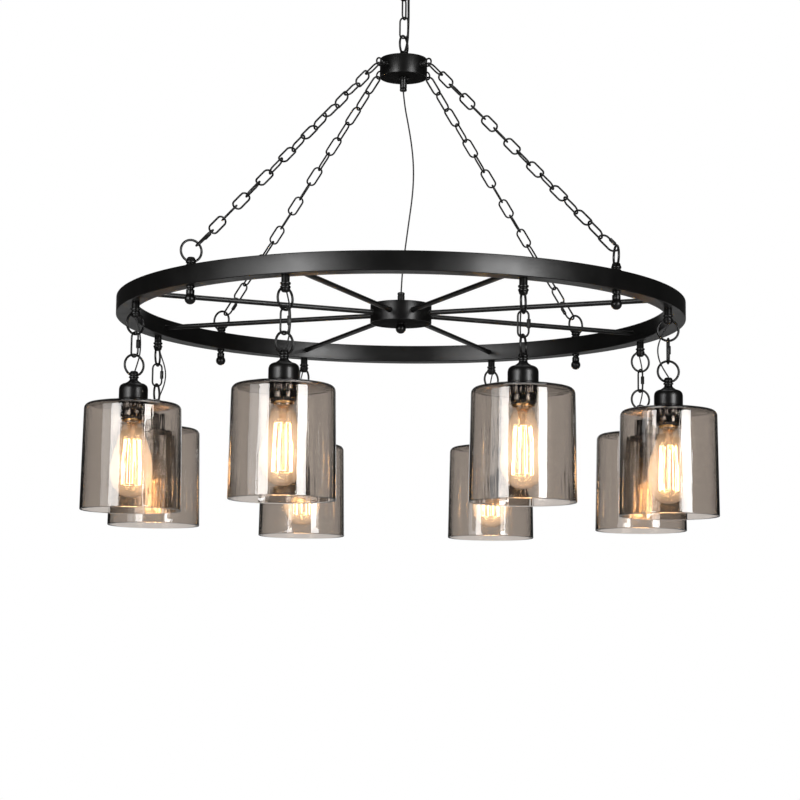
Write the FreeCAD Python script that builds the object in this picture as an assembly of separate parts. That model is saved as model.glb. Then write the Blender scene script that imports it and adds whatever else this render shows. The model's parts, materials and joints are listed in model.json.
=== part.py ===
"""Wagon wheel chandelier: eight glass lamps under a ring, hung on four chains from a
small drum, which hangs on a short chain from a ceiling canopy.

Millimetres, +Z up.  The origin is the middle of the mounting holes of the crossbar, on
the ceiling plane, so the whole light hangs below z = 0.  +X and +Y lie in the ceiling.

Everything is stacked from the ceiling down: each piece takes its height from the piece
that carries it, and the drum's height over the wheel follows from the chains' length.
"""
import FreeCAD, Part
import math
import os

V = FreeCAD.Vector
Z = V(0, 0, 1)

# ---------------------------------------------------------------- driving dimensions
CLEAR = 0.25                  # slack between two links that hang in each other
SEAT = 0.2                    # slack round a stem in its hole, and between thread parts
STEM_R, NIPPLE_WALL = 5.0, 1.5       # threaded nipple (M10)
NIPPLE_NUT_R, NIPPLE_NUT_HEIGHT = 9.0, 4.0

# ceiling parts
BAR_HOLE_SPACING, BAR_HOLE_R = 88.9, 2.4
BAR_END, BAR_WIDTH, BAR_THICK = 7.5, 20.0, 2.0      # the end lies past its hole
CANOPY_R, CANOPY_DEPTH, CANOPY_WALL = 63.5, 26.0, 1.2
CANOPY_FLAT_R = 30.0          # flat middle of the canopy

# cast loops: a turned collar that carries a ring
RING_OUTER_R, RING_WIRE_R = 17.8, 1.8
COLLAR_R, COLLAR_HEIGHT = 7.6, 14.0
RING_SINK = 8.8               # how far the ring's wire sinks into its collar
HANGER_TUBE_R, HANGER_TUBE_LENGTH = 6.0, 10.5

# chain
LINK_INNER, LINK_OUTER_WIDTH, LINK_WIRE_R = 31.84, 17.0, 1.5
CEILING_LINKS = 3
CHAIN_LINKS = 15              # oval links in each of the four chains
QUICK_INNER, QUICK_OUTER_WIDTH, QUICK_WIRE_R = 35.2, 18.6, 1.5
SLEEVE_R, SLEEVE_LENGTH, SLEEVE_BITE = 2.9, 13.0, 3.0

# drum, where the four chains and the wiring meet
DRUM_R, DRUM_HEIGHT, DRUM_WALL = 38.3, 30.7, 1.5
DRUM_EYE_REACH = 17.0         # from the drum's wall to the middle of a side eye
DRUM_EYE_R, DRUM_EYE_WIRE_R, DRUM_EYE_STEM_R = 7.6, 1.4, 3.2
DRUM_GLAND_R, DRUM_GLAND_LENGTH = 5.8, 23.0

# wheel
RIM_R, RIM_HEIGHT, RIM_WIDTH = 450.0, 28.5, 28.0
HUB_R, HUB_HEIGHT, HUB_WALL = 48.8, 30.5, 1.5
HUB_GLAND_R, HUB_GLAND_LENGTH = 5.7, 20.0
SPOKES, SPOKE_R = 8, 4.0
BALL_R, BALL_NECK_R = 8.2, 6.2
RIM_BALL_DROP, HUB_BALL_DROP = 19.0, 8.6      # from the seat to the ball's middle
COVER_INSET, COVER_THICK = 0.8, 1.5

# lamps
LAMPS = 8
CUP_R, CUP_HEIGHT = 21.8, 25.0
LAMP_COLLAR_HEIGHT = 10.5     # the lamp's own collar is shorter than the others
NECK_HEIGHT = 8.2             # flared foot between the cup and its collar
SHADE_R, SHADE_TOP_R, SHADE_HEIGHT, SHADE_WALL = 75.5, 73.0, 166.5, 3.0
SHADE_CROWN, SHADE_SHOULDER = 6.0, 9.0
SHADE_HOLE_R = 20.2
SOCKET_R, SOCKET_LENGTH = 19.3, 27.0
NUT_R, NUT_HEIGHT = 21.6, 11.0
BULB_R, BULB_NECK_R, BULB_LENGTH = 32.0, 14.2, 113.5
CAP_R, CAP_LENGTH = 13.0, 20.0
LEAD_R = 1.1                  # wire that feeds one lamp
HUB_CORD_R, FEED_CORD_R = 1.2, 1.9
LEAD_EXIT, FEED_EXIT = 3.0, 2.3      # a cord leaves its collar this far from the middle

# the turn of each ring about the vertical, in degrees, as the loops are screwed in
LAMP_TURNS = [39, 20, 2, 74, 52, 45, 82, 60]
RIM_EYE_TURNS = [40, 97, 26, 146]
TOP_TURN = 90 - 24            # ring on top of the drum; the ceiling chain follows it

# Routes of the limp cords between their two ends.  Each point is (sideways, lengthways,
# drop): off the plane of the rings, along that plane, and down from the upper end.
HUB_ROUTE = [(2.5, 0.6, 24), (8.2, -0.8, 53), (13.6, -2.6, 84), (17.3, -3.9, 116), (18.0, -4.4, 149),
             (15.6, -3.6, 181), (11.4, -2.8, 213), (7.5, -1.2, 244), (3.6, -0.9, 276), (1.0, 0.2, 305)]
FEED_ROUTE = [(3.4, 3.1, 10), (4.9, 4.9, 22), (5.7, 5.3, 40), (5.1, 5.9, 60), (5.8, 5.2, 82),
              (5.1, 5.7, 103), (4.9, 4.8, 121), (3.4, 3.0, 134)]
LEAD_ROUTES = [
    [(3.6, -3.4, 11), (4.8, -6.3, 25), (5.2, -7.4, 41), (4.6, -6.2, 56), (3.5, -3.1, 70)],
    [(-3.5, 3.2, 11), (-4.6, 6.1, 25), (-5.2, 7.2, 40), (-4.8, 6.5, 56), (-3.6, 3.6, 70)],
    [(3.4, -6.4, 11), (4.5, -13.2, 24), (5.2, -17.4, 39), (4.9, -15.1, 55), (3.7, -8.2, 69)],
    [(-3.8, 3.5, 11), (-5.4, 6.3, 25), (-6.3, 7.3, 41), (-5.6, 6.0, 56), (-3.9, 3.2, 70)],
    [(3.6, 3.3, 11), (4.7, 5.5, 24), (5.3, 6.3, 40), (4.8, 5.4, 56), (3.5, 3.2, 70)],
    [(3.5, 3.3, 11), (4.6, 6.2, 25), (5.3, 7.3, 41), (4.7, 6.5, 57), (3.5, 3.5, 70)],
    [(6.2, 3.2, 11), (10.6, 5.3, 24), (13.2, 6.3, 39), (11.4, 5.6, 55), (6.9, 3.4, 69)],
    [(-3.8, -3.4, 11), (-5.2, -6.2, 24), (-6.2, -7.3, 40), (-5.5, -6.3, 56), (-3.8, -3.3, 70)]]
ARC_SHARE, ARC_STEPS = 0.45, 1       # share of the shorter run that each bend takes

# facets of the small turned pieces that repeat
WIRE_SIDES, LINK_ARC_STEPS, RING_STEPS = 4, 3, 8
COLLAR_SIDES, SOCKET_SIDES, CUP_SIDES, SHADE_SIDES, BULB_SIDES = 6, 8, 10, 16, 8
SLEEVE_SIDES, CANOPY_SIDES, COVER_SIDES = 6, 24, 24
BODY_SIDES = 40               # hub and drum; a flat of the hub faces each spoke

# ------------------------------------------------------------------------- derived
RING_R = RING_OUTER_R - RING_WIRE_R            # middle line of a ring's wire
RING_LIFT = RING_OUTER_R - RING_SINK           # collar's end to the middle of its ring
RING_SPAN = COLLAR_HEIGHT + RING_LIFT + RING_R  # collar's foot to the wire that carries
LINK_LINE_W = LINK_OUTER_WIDTH - 2 * LINK_WIRE_R
QUICK_LINE_W = QUICK_OUTER_WIDTH - 2 * QUICK_WIRE_R
RIM_LINE_R = RIM_R - RIM_WIDTH / 2             # circle on which everything is screwed


def polar(radius, azimuth, z=0.0):
    """Azimuth in degrees, clockwise from +Y as seen from above."""
    a = math.radians(azimuth)
    return V(radius * math.sin(a), radius * math.cos(a), z)


def clear_of(radius, sides):
    """Corner radius of a flat-sided bore that a round stem of 'radius' just fits."""
    return radius / math.cos(math.pi / sides)


def solid_of(faces):
    """One solid from flat faces that meet edge to edge."""
    shell = Part.makeShell(faces)
    shell.sewShape()
    solid = Part.makeSolid(shell.Shells[0] if shell.Shells else Part.Shell(shell.Faces))
    if solid.Volume < 0:
        solid.reverse()
    return solid


def polygon(points):
    return Part.makePolygon(list(points) + [points[0]])


def swept(path, radius, sides, across, closed=True, end_cut=None):
    """A wire of polygonal section along straight runs with mitred corners.
    'across' is the normal of the plane in which the path bends; a corner of the
    section points that way and into the bend.  'end_cut' is the normal of both end
    faces, where they aren't square to the wire."""
    count = len(path)
    runs = [(path[(i + 1) % count] - path[i]).normalize()
            for i in range(count if closed else count - 1)]
    mitres = []
    for i in range(count):
        before = runs[i - 1] if (closed or i > 0) else runs[0]
        after = runs[i] if i < len(runs) else runs[-1]
        mitres.append((before + after).normalize())
    if end_cut:
        mitres[0] = mitres[-1] = end_cut
    side = across.cross(runs[0]).normalize()
    up = runs[0].cross(side)
    ring = [side * (radius * math.cos(2 * math.pi * k / sides))
            + up * (radius * math.sin(2 * math.pi * k / sides)) for k in range(sides)]
    first = []
    for offset in ring:                        # slide the section back onto its mitre
        along = -offset.dot(mitres[0]) / runs[0].dot(mitres[0])
        first.append(path[0] + offset + runs[0] * along)
    rings = [first]
    for i, run in enumerate(runs[:-1] if closed else runs):
        target, mitre = path[i + 1], mitres[i + 1]
        rings.append([p + run * ((target - p).dot(mitre) / run.dot(mitre))
                      for p in rings[-1]])
    faces = []
    last = len(rings) if closed else len(rings) - 1
    for i in range(last):
        a, b = rings[i], rings[(i + 1) % len(rings)]
        for k in range(sides):
            n = (k + 1) % sides
            faces.append(Part.Face(polygon([a[k], a[n], b[n], b[k]])))
    if not closed:
        faces += [Part.Face(polygon(rings[0])), Part.Face(polygon(rings[-1]))]
    return solid_of(faces)


def turned(profile, sides):
    """A closed (radius, z) outline turned about Z into flat-sided bands."""
    def ring(r, z):
        return [V(r * math.cos(2 * math.pi * k / sides), r * math.sin(2 * math.pi * k / sides), z)
                for k in range(sides)]
    faces = []
    for (r0, z0), (r1, z1) in zip(profile, profile[1:] + profile[:1]):
        if r0 == 0 and r1 == 0:
            continue
        a, b = ring(r0, z0), ring(r1, z1)
        if z0 == z1:                           # flat: one face, with a hole if it has one
            wires = [polygon(w) for w, r in ((a, r0), (b, r1)) if r > 0]
            wires.sort(key=lambda w: -w.BoundBox.XLength)
            flat = Part.Face(wires[0])
            faces.append(flat if len(wires) == 1 else flat.cut(Part.Face(wires[1])).Faces[0])
            continue
        for k in range(sides):
            n = (k + 1) % sides
            if r0 == 0 or r1 == 0:
                corners = [a[0], b[k], b[n]] if r0 == 0 else [a[k], a[n], b[0]]
            else:
                corners = [a[k], a[n], b[n], b[k]]
            faces.append(Part.Face(polygon(corners)))
    return solid_of(faces)


def revolved(profile):
    """A true revolve of a closed (radius, z) outline about Z."""
    face = Part.Face(polygon([V(r, 0, z) for r, z in profile]))
    return face.revolve(V(0, 0, 0), Z, 360)


def placed(shape, origin, x_axis, z_axis):
    """A copy whose own X and Z axes point along the given directions."""
    x, z = V(x_axis).normalize(), V(z_axis).normalize()
    y = z.cross(x)
    matrix = FreeCAD.Matrix(x.x, y.x, z.x, origin.x, x.y, y.y, z.y, origin.y,
                            x.z, y.z, z.z, origin.z, 0, 0, 0, 1)
    return shape.transformed(matrix)


def shifted(shape, x=0.0, y=0.0, z=0.0):
    return placed(shape, V(x, y, z), V(1, 0, 0), Z)


def spun(shape, azimuth, radius=0.0, z=0.0):
    """A copy moved out to an azimuth, its own +Y pointing outwards."""
    out = polar(1, azimuth)
    return placed(shape, polar(radius, azimuth, z), out.cross(Z), Z)


def export(name, *solids):
    shape = solids[0] if len(solids) == 1 else Part.makeCompound(list(solids))
    shape.exportStep("parts/%s.step" % name)
    NODES[name] = shape


NODES = {}
os.makedirs("parts", exist_ok=True)


# ------------------------------------------------------------- one of each small piece
def oval_path(inner, line_width, wire_r):
    """Middle line of a link in the XZ plane, its length along Z."""
    half, bend = inner / 2 + wire_r, line_width / 2
    straight = half - bend
    points = []
    for sign in (1, -1):
        for k in range(LINK_ARC_STEPS + 1):
            a = math.pi * k / LINK_ARC_STEPS
            points.append(V(sign * bend * math.cos(a), 0, sign * (straight + bend * math.sin(a))))
    return points


def oval_path_true(inner, line_width, wire_r):
    """The oval with its ends pushed out, so that the flat end piece lies at full length."""
    points = oval_path(inner, line_width, wire_r)
    top = max(p.z for p in points)
    grow = inner / 2 + wire_r - top
    return [V(p.x, 0, p.z + math.copysign(grow, p.z)) for p in points]


LINK = swept(oval_path_true(LINK_INNER, LINK_LINE_W, LINK_WIRE_R), LINK_WIRE_R, WIRE_SIDES, V(0, 1, 0))


def quick_link():
    """The oval is open on one side, where a screwed sleeve bridges the gap."""
    points = oval_path_true(QUICK_INNER, QUICK_LINE_W, QUICK_WIRE_R)
    end = SLEEVE_LENGTH / 2 - SLEEVE_BITE
    side = QUICK_LINE_W / 2
    path = [V(side, 0, end)] + points[:2 * LINK_ARC_STEPS + 2] + [V(side, 0, -end)]
    body = swept(path, QUICK_WIRE_R, WIRE_SIDES, V(0, 1, 0), closed=False)
    half = SLEEVE_LENGTH / 2
    bore = clear_of(QUICK_WIRE_R + SEAT, SLEEVE_SIDES)
    sleeve = turned([(bore, -half), (SLEEVE_R, -half), (SLEEVE_R, half), (bore, half)], SLEEVE_SIDES)
    return [body, shifted(sleeve, side)]


QUICK = quick_link()


def ring_piece(outer_r, wire_r):
    """A ring in the XZ plane; a flat run lies at its top and its bottom."""
    line_r = outer_r - wire_r
    corner = line_r / math.cos(math.pi / RING_STEPS)
    turns = [2 * math.pi * (k + 0.5) / RING_STEPS for k in range(RING_STEPS)]
    points = [V(corner * math.sin(a), 0, corner * math.cos(a)) for a in turns]
    return swept(points, wire_r, WIRE_SIDES, V(0, 1, 0))


RING = ring_piece(RING_OUTER_R, RING_WIRE_R)


def loop(height, foot, bore=0.0):
    """Collar with two beads up from z = 0, and its ring above.  'foot' is the outline
    under the collar, and 'bore' the depth of a hole that takes a threaded nipple."""
    r, h = COLLAR_R, height
    outline = list(foot)
    hole = clear_of(STEM_R + SEAT, COLLAR_SIDES)
    if bore:
        outline = [(hole, 0)]
    outline += [(r, 0), (0.8 * r, 0.3 * h), (r, 0.5 * h), (0.6 * r, h), (0, h)]
    if bore:
        outline += [(0, bore), (hole, bore)]
    return turned(outline, COLLAR_SIDES).fuse(shifted(RING, z=h + RING_LIFT))


FLAT_FOOT = [(0, 0)]
LOOP = loop(COLLAR_HEIGHT, FLAT_FOOT)
NIPPLE_REACH = COLLAR_HEIGHT - RING_SINK - 0.6  # a nipple ends short of its loop's ring
CANOPY_LOOP = loop(COLLAR_HEIGHT, FLAT_FOOT, NIPPLE_REACH + SEAT)
HANGER = loop(COLLAR_HEIGHT, [(0, -HANGER_TUBE_LENGTH), (HANGER_TUBE_R, -HANGER_TUBE_LENGTH),
                              (HANGER_TUBE_R, 0)])
LAMP_LOOP = loop(LAMP_COLLAR_HEIGHT, [(0, -NECK_HEIGHT), (1.6 * COLLAR_R, -NECK_HEIGHT),
                                      (0.75 * COLLAR_R, -0.35 * NECK_HEIGHT)])


def ball_finial(drop):
    """Neck from the seat at z = 0 down to a ball whose middle lies 'drop' lower."""
    outline = [(0, 0), (BALL_NECK_R, 0), (BALL_NECK_R, -drop + 0.66 * BALL_R)]
    for angle in (15, -30, -65):
        a = math.radians(angle)
        outline.append((BALL_R * math.cos(a), -drop + BALL_R * math.sin(a)))
    outline.append((0, -drop - BALL_R))
    return turned(outline, SOCKET_SIDES)


# ---------------------------------------------------------------- ceiling and canopy
BAR_LENGTH = BAR_HOLE_SPACING + 2 * BAR_END
bar = Part.makeBox(BAR_LENGTH, BAR_WIDTH, BAR_THICK, V(-BAR_LENGTH / 2, -BAR_WIDTH / 2, -BAR_THICK))
for x in (-BAR_HOLE_SPACING / 2, BAR_HOLE_SPACING / 2):
    bar = bar.cut(Part.makeCylinder(BAR_HOLE_R, 3 * BAR_THICK, V(x, 0, -2 * BAR_THICK)))
bar = bar.cut(Part.makeCylinder(STEM_R + SEAT, 3 * BAR_THICK, V(0, 0, -2 * BAR_THICK)))
export("ceiling_crossbar", bar)

w, r, d, f = CANOPY_WALL, CANOPY_R, CANOPY_DEPTH, CANOPY_FLAT_R
hole = STEM_R + SEAT
canopy = turned([(r, 0), (r, -0.35 * d), (0.84 * r, -0.78 * d), (f, -d), (hole, -d), (hole, w - d), (f, w - d),
                 (0.84 * r - w, w - 0.78 * d), (r - w, -0.35 * d), (r - w, 0)], CANOPY_SIDES)
export("canopy", canopy)

canopy_foot = -CANOPY_DEPTH - SEAT
nipple_top, nipple_bottom = -SEAT, canopy_foot - NIPPLE_REACH
bore = STEM_R - NIPPLE_WALL
nipple = turned([(bore, nipple_top), (STEM_R, nipple_top), (STEM_R, nipple_bottom), (bore, nipple_bottom)], 12)
nut_top = -BAR_THICK - SEAT
nut_bore = clear_of(hole, 6)
nut = turned([(nut_bore, nut_top), (NIPPLE_NUT_R, nut_top), (NIPPLE_NUT_R, nut_top - NIPPLE_NUT_HEIGHT),
              (nut_bore, nut_top - NIPPLE_NUT_HEIGHT)], 6)
export("canopy_nipple", nipple, nut)

top_axis = polar(1, 90 - TOP_TURN)              # direction along which the top ring lies
export("canopy_loop", placed(CANOPY_LOOP, V(0, 0, canopy_foot), top_axis, Z * -1))

# ---------------------------------------------------------------- ceiling chain
bearing = canopy_foot - RING_SPAN               # middle of the wire that carries the chain
link_top = bearing + RING_WIRE_R + CLEAR        # inner top of the first link
links, SWAY_Z, TURN_Z = [], bearing, None
for k in range(CEILING_LINKS):
    across = top_axis.cross(Z) if k % 2 == 0 else top_axis
    links.append(placed(LINK, V(0, 0, link_top - LINK_INNER / 2), across, Z))
    if k == 0:
        TURN_Z = link_top - LINK_INNER
    link_top = link_top - LINK_INNER + CLEAR
last_bottom = link_top - CLEAR                  # inner bottom of the last link
export("ceiling_top_link", links[0])
export("ceiling_chain", *links[1:])
TILT_Z = last_bottom - LINK_WIRE_R              # the last link's wire, on which the drum tilts
fixture_bearing = last_bottom + CLEAR + RING_WIRE_R
drum_top = fixture_bearing - RING_SPAN

# ---------------------------------------------------------------- drum
drum_loop = placed(LOOP, V(0, 0, drum_top), top_axis, Z)
export("drum_loop", drum_loop)
drum_bottom = drum_top - DRUM_HEIGHT
drum_mid = drum_top - DRUM_HEIGHT / 2
inner = DRUM_R - DRUM_WALL
drum_can = turned([(0, drum_top), (DRUM_R, drum_top), (DRUM_R, drum_bottom), (inner, drum_bottom),
                     (inner, drum_bottom + COVER_INSET + COVER_THICK),
                     (0, drum_bottom + COVER_INSET + COVER_THICK)], BODY_SIDES)
export("drum", drum_can)
cover_z = drum_bottom + COVER_INSET
drum_cover = turned([(0, cover_z), (inner - SEAT, cover_z), (inner - SEAT, cover_z + COVER_THICK),
                     (0, cover_z + COVER_THICK)], COVER_SIDES)
export("drum_cover", drum_cover)
gland_end = cover_z - DRUM_GLAND_LENGTH
drum_gland = turned([(0, cover_z), (DRUM_GLAND_R + 2, cover_z), (DRUM_GLAND_R + 2, cover_z - 4),
                     (DRUM_GLAND_R, cover_z - 4), (DRUM_GLAND_R, gland_end + 2),
                     (DRUM_GLAND_R - 1.5, gland_end), (0, gland_end)], SOCKET_SIDES)
export("drum_gland", drum_gland)

EYE_AZIMUTHS = [45 + 90 * k for k in range(4)]
eye_line_r = DRUM_EYE_R - DRUM_EYE_WIRE_R
eye_stem = DRUM_EYE_REACH - eye_line_r
small_eye = turned([(0, 0), (DRUM_EYE_STEM_R, 0), (DRUM_EYE_STEM_R, 0.45 * eye_stem),
                    (0.7 * DRUM_EYE_STEM_R, eye_stem + DRUM_EYE_WIRE_R * 0.5),
                    (0, eye_stem + DRUM_EYE_WIRE_R * 0.5)], COLLAR_SIDES)
small_eye = small_eye.fuse(shifted(ring_piece(DRUM_EYE_R, DRUM_EYE_WIRE_R), z=DRUM_EYE_REACH))
export("drum_eyes", *[placed(small_eye, polar(DRUM_R, az, drum_mid), Z, polar(1, az))
                      for az in EYE_AZIMUTHS])

# ---------------------------------------------------------------- chains and wheel height
CHAIN_SPAN = (CHAIN_LINKS * LINK_INNER + QUICK_INNER - DRUM_EYE_WIRE_R - RING_WIRE_R
              - (CHAIN_LINKS + 2) * CLEAR)      # from one eye's wire to the other's


def chain_ends(azimuth, turn, rim_top):
    """Points on the two eyes' wires between which one chain is taut."""
    out = polar(1, azimuth)
    upper = polar(DRUM_R + DRUM_EYE_REACH, azimuth, drum_mid)
    lower = polar(RIM_LINE_R, azimuth, rim_top + COLLAR_HEIGHT + RING_LIFT)
    flat = polar(1, 90 - turn)                  # horizontal direction of the rim ring
    line = (upper - lower).normalize()
    for _ in range(30):
        in_ring = (flat * line.dot(flat) + Z * line.dot(Z)).normalize()
        low = lower + in_ring * RING_R
        in_eye = (out * line.dot(out) + Z * line.dot(Z)).normalize()
        high = upper - in_eye * eye_line_r
        line = (high - low).normalize()
    wire_low = flat.cross(Z).cross(in_ring)     # along the rim ring's wire
    wire_high = out.cross(Z).cross(in_eye)      # along the drum eye's wire
    return low, high, wire_low, wire_high


def drop_for_chain():
    """Height of the drum's middle over the rim's top for which the mean chain is taut."""
    low, high = 50.0, 900.0
    for _ in range(60):
        mid = (low + high) / 2
        spans = []
        for azimuth, turn in zip(EYE_AZIMUTHS, RIM_EYE_TURNS):
            a, b, _, _ = chain_ends(azimuth, turn, drum_mid - mid)
            spans.append((b - a).Length)
        if min(spans) > CHAIN_SPAN:
            high = mid
        else:
            low = mid
    return mid


rim_top = drum_mid - drop_for_chain()
rim_bottom = rim_top - RIM_HEIGHT
wheel_z = rim_top - RIM_HEIGHT / 2

QUICK_AT = CHAIN_LINKS                          # the quick link hooks the rim's ring
for number, (azimuth, turn) in enumerate(zip(EYE_AZIMUTHS, RIM_EYE_TURNS), 1):
    low, high, wire_low, wire_high = chain_ends(azimuth, turn, rim_top)
    down = (low - high).normalize()
    spare = (low - high).Length - CHAIN_SPAN    # shared out, so that each link takes part
    frame_x = wire_high
    frame_y = down.cross(frame_x)
    goal = math.degrees(math.atan2(wire_low.dot(frame_y), wire_low.dot(frame_x)))
    twist = (goal - 90 * CHAIN_LINKS + 90) % 180 - 90
    pieces = []
    start = -(DRUM_EYE_WIRE_R + CLEAR)
    for k in range(CHAIN_LINKS + 1):
        inner_length = QUICK_INNER if k == QUICK_AT else LINK_INNER
        start_k = start + spare * (k + 0.5) / (CHAIN_LINKS + 1)
        a = math.radians(k * (90 + twist / CHAIN_LINKS))
        normal = frame_x * math.cos(a) + frame_y * math.sin(a)
        middle = high + down * (start_k + inner_length / 2)
        across = normal.cross(down)
        for shape in (QUICK if k == QUICK_AT else [LINK]):
            pieces.append(placed(shape, middle, across, down * -1))
        start += inner_length - CLEAR
    export("chain_%d" % number, *pieces)

rim = revolved([(RIM_R - RIM_WIDTH, rim_bottom), (RIM_R, rim_bottom), (RIM_R, rim_top),
                (RIM_R - RIM_WIDTH, rim_top)])
export("wheel_rim", rim)
export("rim_eyes", *[placed(LOOP, polar(RIM_LINE_R, az, rim_top), polar(1, 90 - turn), Z)
                     for az, turn in zip(EYE_AZIMUTHS, RIM_EYE_TURNS)])
export("rim_finials", *[spun(ball_finial(RIM_BALL_DROP), az, RIM_LINE_R, rim_bottom)
                        for az in EYE_AZIMUTHS])

hub_top, hub_bottom = wheel_z + HUB_HEIGHT / 2, wheel_z - HUB_HEIGHT / 2
inner = HUB_R - HUB_WALL
hub = turned([(0, hub_top), (HUB_R, hub_top), (HUB_R, hub_bottom), (inner, hub_bottom),
                (inner, hub_bottom + COVER_INSET + COVER_THICK),
                (0, hub_bottom + COVER_INSET + COVER_THICK)], BODY_SIDES)
export("hub", hub)
cover_z = hub_bottom + COVER_INSET
export("hub_cover", turned([(0, cover_z), (inner - SEAT, cover_z),
                            (inner - SEAT, cover_z + COVER_THICK), (0, cover_z + COVER_THICK)], COVER_SIDES))
export("hub_finial", shifted(ball_finial(HUB_BALL_DROP), z=cover_z))
hub_gland_end = hub_top + HUB_GLAND_LENGTH
export("hub_gland", turned([(0, hub_top), (HUB_GLAND_R + 2, hub_top), (HUB_GLAND_R + 2, hub_top + 4),
                            (HUB_GLAND_R, hub_top + 4), (HUB_GLAND_R, hub_gland_end - 2),
                            (HUB_GLAND_R - 1.5, hub_gland_end), (0, hub_gland_end)], SOCKET_SIDES))

# flats of the hub face the spokes, and the rim's inner wall is touched by their far ends
AZIMUTHS = [(k + 0.5) * 360 / LAMPS for k in range(LAMPS)]
spoke_start = HUB_R * math.cos(math.pi / BODY_SIDES)
spoke_end = math.sqrt((RIM_R - RIM_WIDTH) ** 2 - SPOKE_R ** 2)
spoke = turned([(0, spoke_start), (SPOKE_R, spoke_start), (SPOKE_R, spoke_end), (0, spoke_end)], SOCKET_SIDES)
spoke = placed(spoke, V(0, 0, 0), V(1, 0, 0), V(0, 1, 0))
export("spokes", *[spun(spoke, (k + 0.5) * 360 / SPOKES, 0, wheel_z) for k in range(SPOKES)])

# ---------------------------------------------------------------- lamps
export("lamp_hangers", *[placed(HANGER, polar(RIM_LINE_R, az, rim_bottom - HANGER_TUBE_LENGTH),
                                polar(1, 90 - turn), Z * -1)
                         for az, turn in zip(AZIMUTHS, LAMP_TURNS)])
LINK_SWING_Z = rim_bottom - HANGER_TUBE_LENGTH - RING_SPAN
quick_top = LINK_SWING_Z + RING_WIRE_R + CLEAR
quick_bottom = quick_top - QUICK_INNER
LAMP_SWING_Z = quick_bottom - QUICK_WIRE_R
lamp_bearing = quick_bottom + CLEAR + RING_WIRE_R
lamp_collar_top = lamp_bearing - RING_R - RING_LIFT
lamp_loop_foot = lamp_collar_top - LAMP_COLLAR_HEIGHT
cup_top = lamp_loop_foot - NECK_HEIGHT
cup_bottom = cup_top - CUP_HEIGHT

c, h = CUP_R, CUP_HEIGHT
cup = turned([(0, -h), (c, -h), (c, -0.32 * h), (0.86 * c, -0.1 * h), (0.62 * c, 0), (0, 0)], CUP_SIDES)

glass_top = 0.0                                 # the glass is drawn from the cup's foot down
crown, shoulder, wall = SHADE_CROWN, SHADE_SHOULDER, SHADE_WALL
outer = [(SHADE_HOLE_R, glass_top), (CUP_R, glass_top), (SHADE_TOP_R - shoulder, -crown),
         (SHADE_TOP_R - 0.3 * shoulder, -crown - 0.3 * shoulder), (SHADE_TOP_R, -crown - shoulder),
         (SHADE_R, -SHADE_HEIGHT)]
inner = [(SHADE_R - wall, -SHADE_HEIGHT), (SHADE_TOP_R - wall, -crown - shoulder),
         (SHADE_TOP_R - shoulder, -crown - wall), (SHADE_HOLE_R, -wall)]
shade = turned(outer + inner, SHADE_SIDES)

socket_mouth = -SOCKET_LENGTH - wall
cap_top = socket_mouth + CAP_LENGTH
socket = turned([(0, 0), (SOCKET_R, 0), (SOCKET_R, socket_mouth), (CAP_R + SEAT, socket_mouth),
                 (CAP_R + SEAT, cap_top + SEAT), (0, cap_top + SEAT)], SOCKET_SIDES)
slope = crown / (SHADE_TOP_R - shoulder - SHADE_HOLE_R)     # of the glass above the ring
nut_top = -wall - SEAT - slope * (NUT_R - SHADE_HOLE_R)
nut = turned([(SOCKET_R + SEAT, nut_top), (NUT_R, nut_top), (NUT_R, nut_top - NUT_HEIGHT),
              (SOCKET_R + SEAT, nut_top - NUT_HEIGHT)], SOCKET_SIDES)

b, n, length = BULB_R, BULB_NECK_R, BULB_LENGTH
bulb_seat = socket_mouth - SEAT
bulb = turned([(0, cap_top), (CAP_R, cap_top), (CAP_R, bulb_seat), (n, bulb_seat),
               (0.69 * b, bulb_seat - 0.25 * length),
               (0.94 * b, bulb_seat - 0.47 * length), (b, bulb_seat - 0.66 * length),
               (0.8 * b, bulb_seat - 0.86 * length), (0, bulb_seat - length)], BULB_SIDES)

for number, (az, turn) in enumerate(zip(AZIMUTHS, LAMP_TURNS), 1):
    at = polar(RIM_LINE_R, az)
    along = polar(1, 90 - turn)                 # direction of the two rings
    across = along.cross(Z)

    def hang(shape, z, x_axis=along):
        return placed(shape, at + Z * z, x_axis, Z)

    export("lamp_%d_link" % number, *[hang(s, quick_bottom + QUICK_INNER / 2, across) for s in QUICK])
    export("lamp_%d_holder" % number, hang(LAMP_LOOP, lamp_loop_foot), hang(cup, cup_top),
           hang(socket, cup_bottom), hang(nut, cup_bottom))
    export("lamp_%d_shade" % number, hang(shade, cup_bottom))
    export("lamp_%d_bulb" % number, hang(bulb, cup_bottom))

# ---------------------------------------------------------------- cords
def corner_radius(before, at, after):
    """Radius of the arc that rounds a corner of a cord's route."""
    run = min((at - before).Length, (after - at).Length)
    turn = (at - before).getAngle(after - at)
    return ARC_SHARE * run / math.tan(turn / 2)


def rounded(points):
    """The route with each corner replaced by a tangent arc, as a chain of short chords."""
    path = [points[0]]
    for before, at, after in zip(points, points[1:], points[2:]):
        into, out = (at - before).normalize(), (after - at).normalize()
        reach = ARC_SHARE * min((at - before).Length, (after - at).Length)
        radius = corner_radius(before, at, after)
        inward = (out - into).normalize()
        half = into.getAngle(out) / 2
        centre = at + inward * (radius / math.cos(half))
        chord = (into + out).normalize()
        for k in range(ARC_STEPS + 1):
            a = half * (2 * k / ARC_STEPS - 1)
            path.append(centre - inward * (radius * math.cos(a)) + chord * (radius * math.sin(a)))
    return path + [points[-1]]


def length_of(points):
    return sum((b - a).Length for a, b in zip(points, points[1:]))


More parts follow.
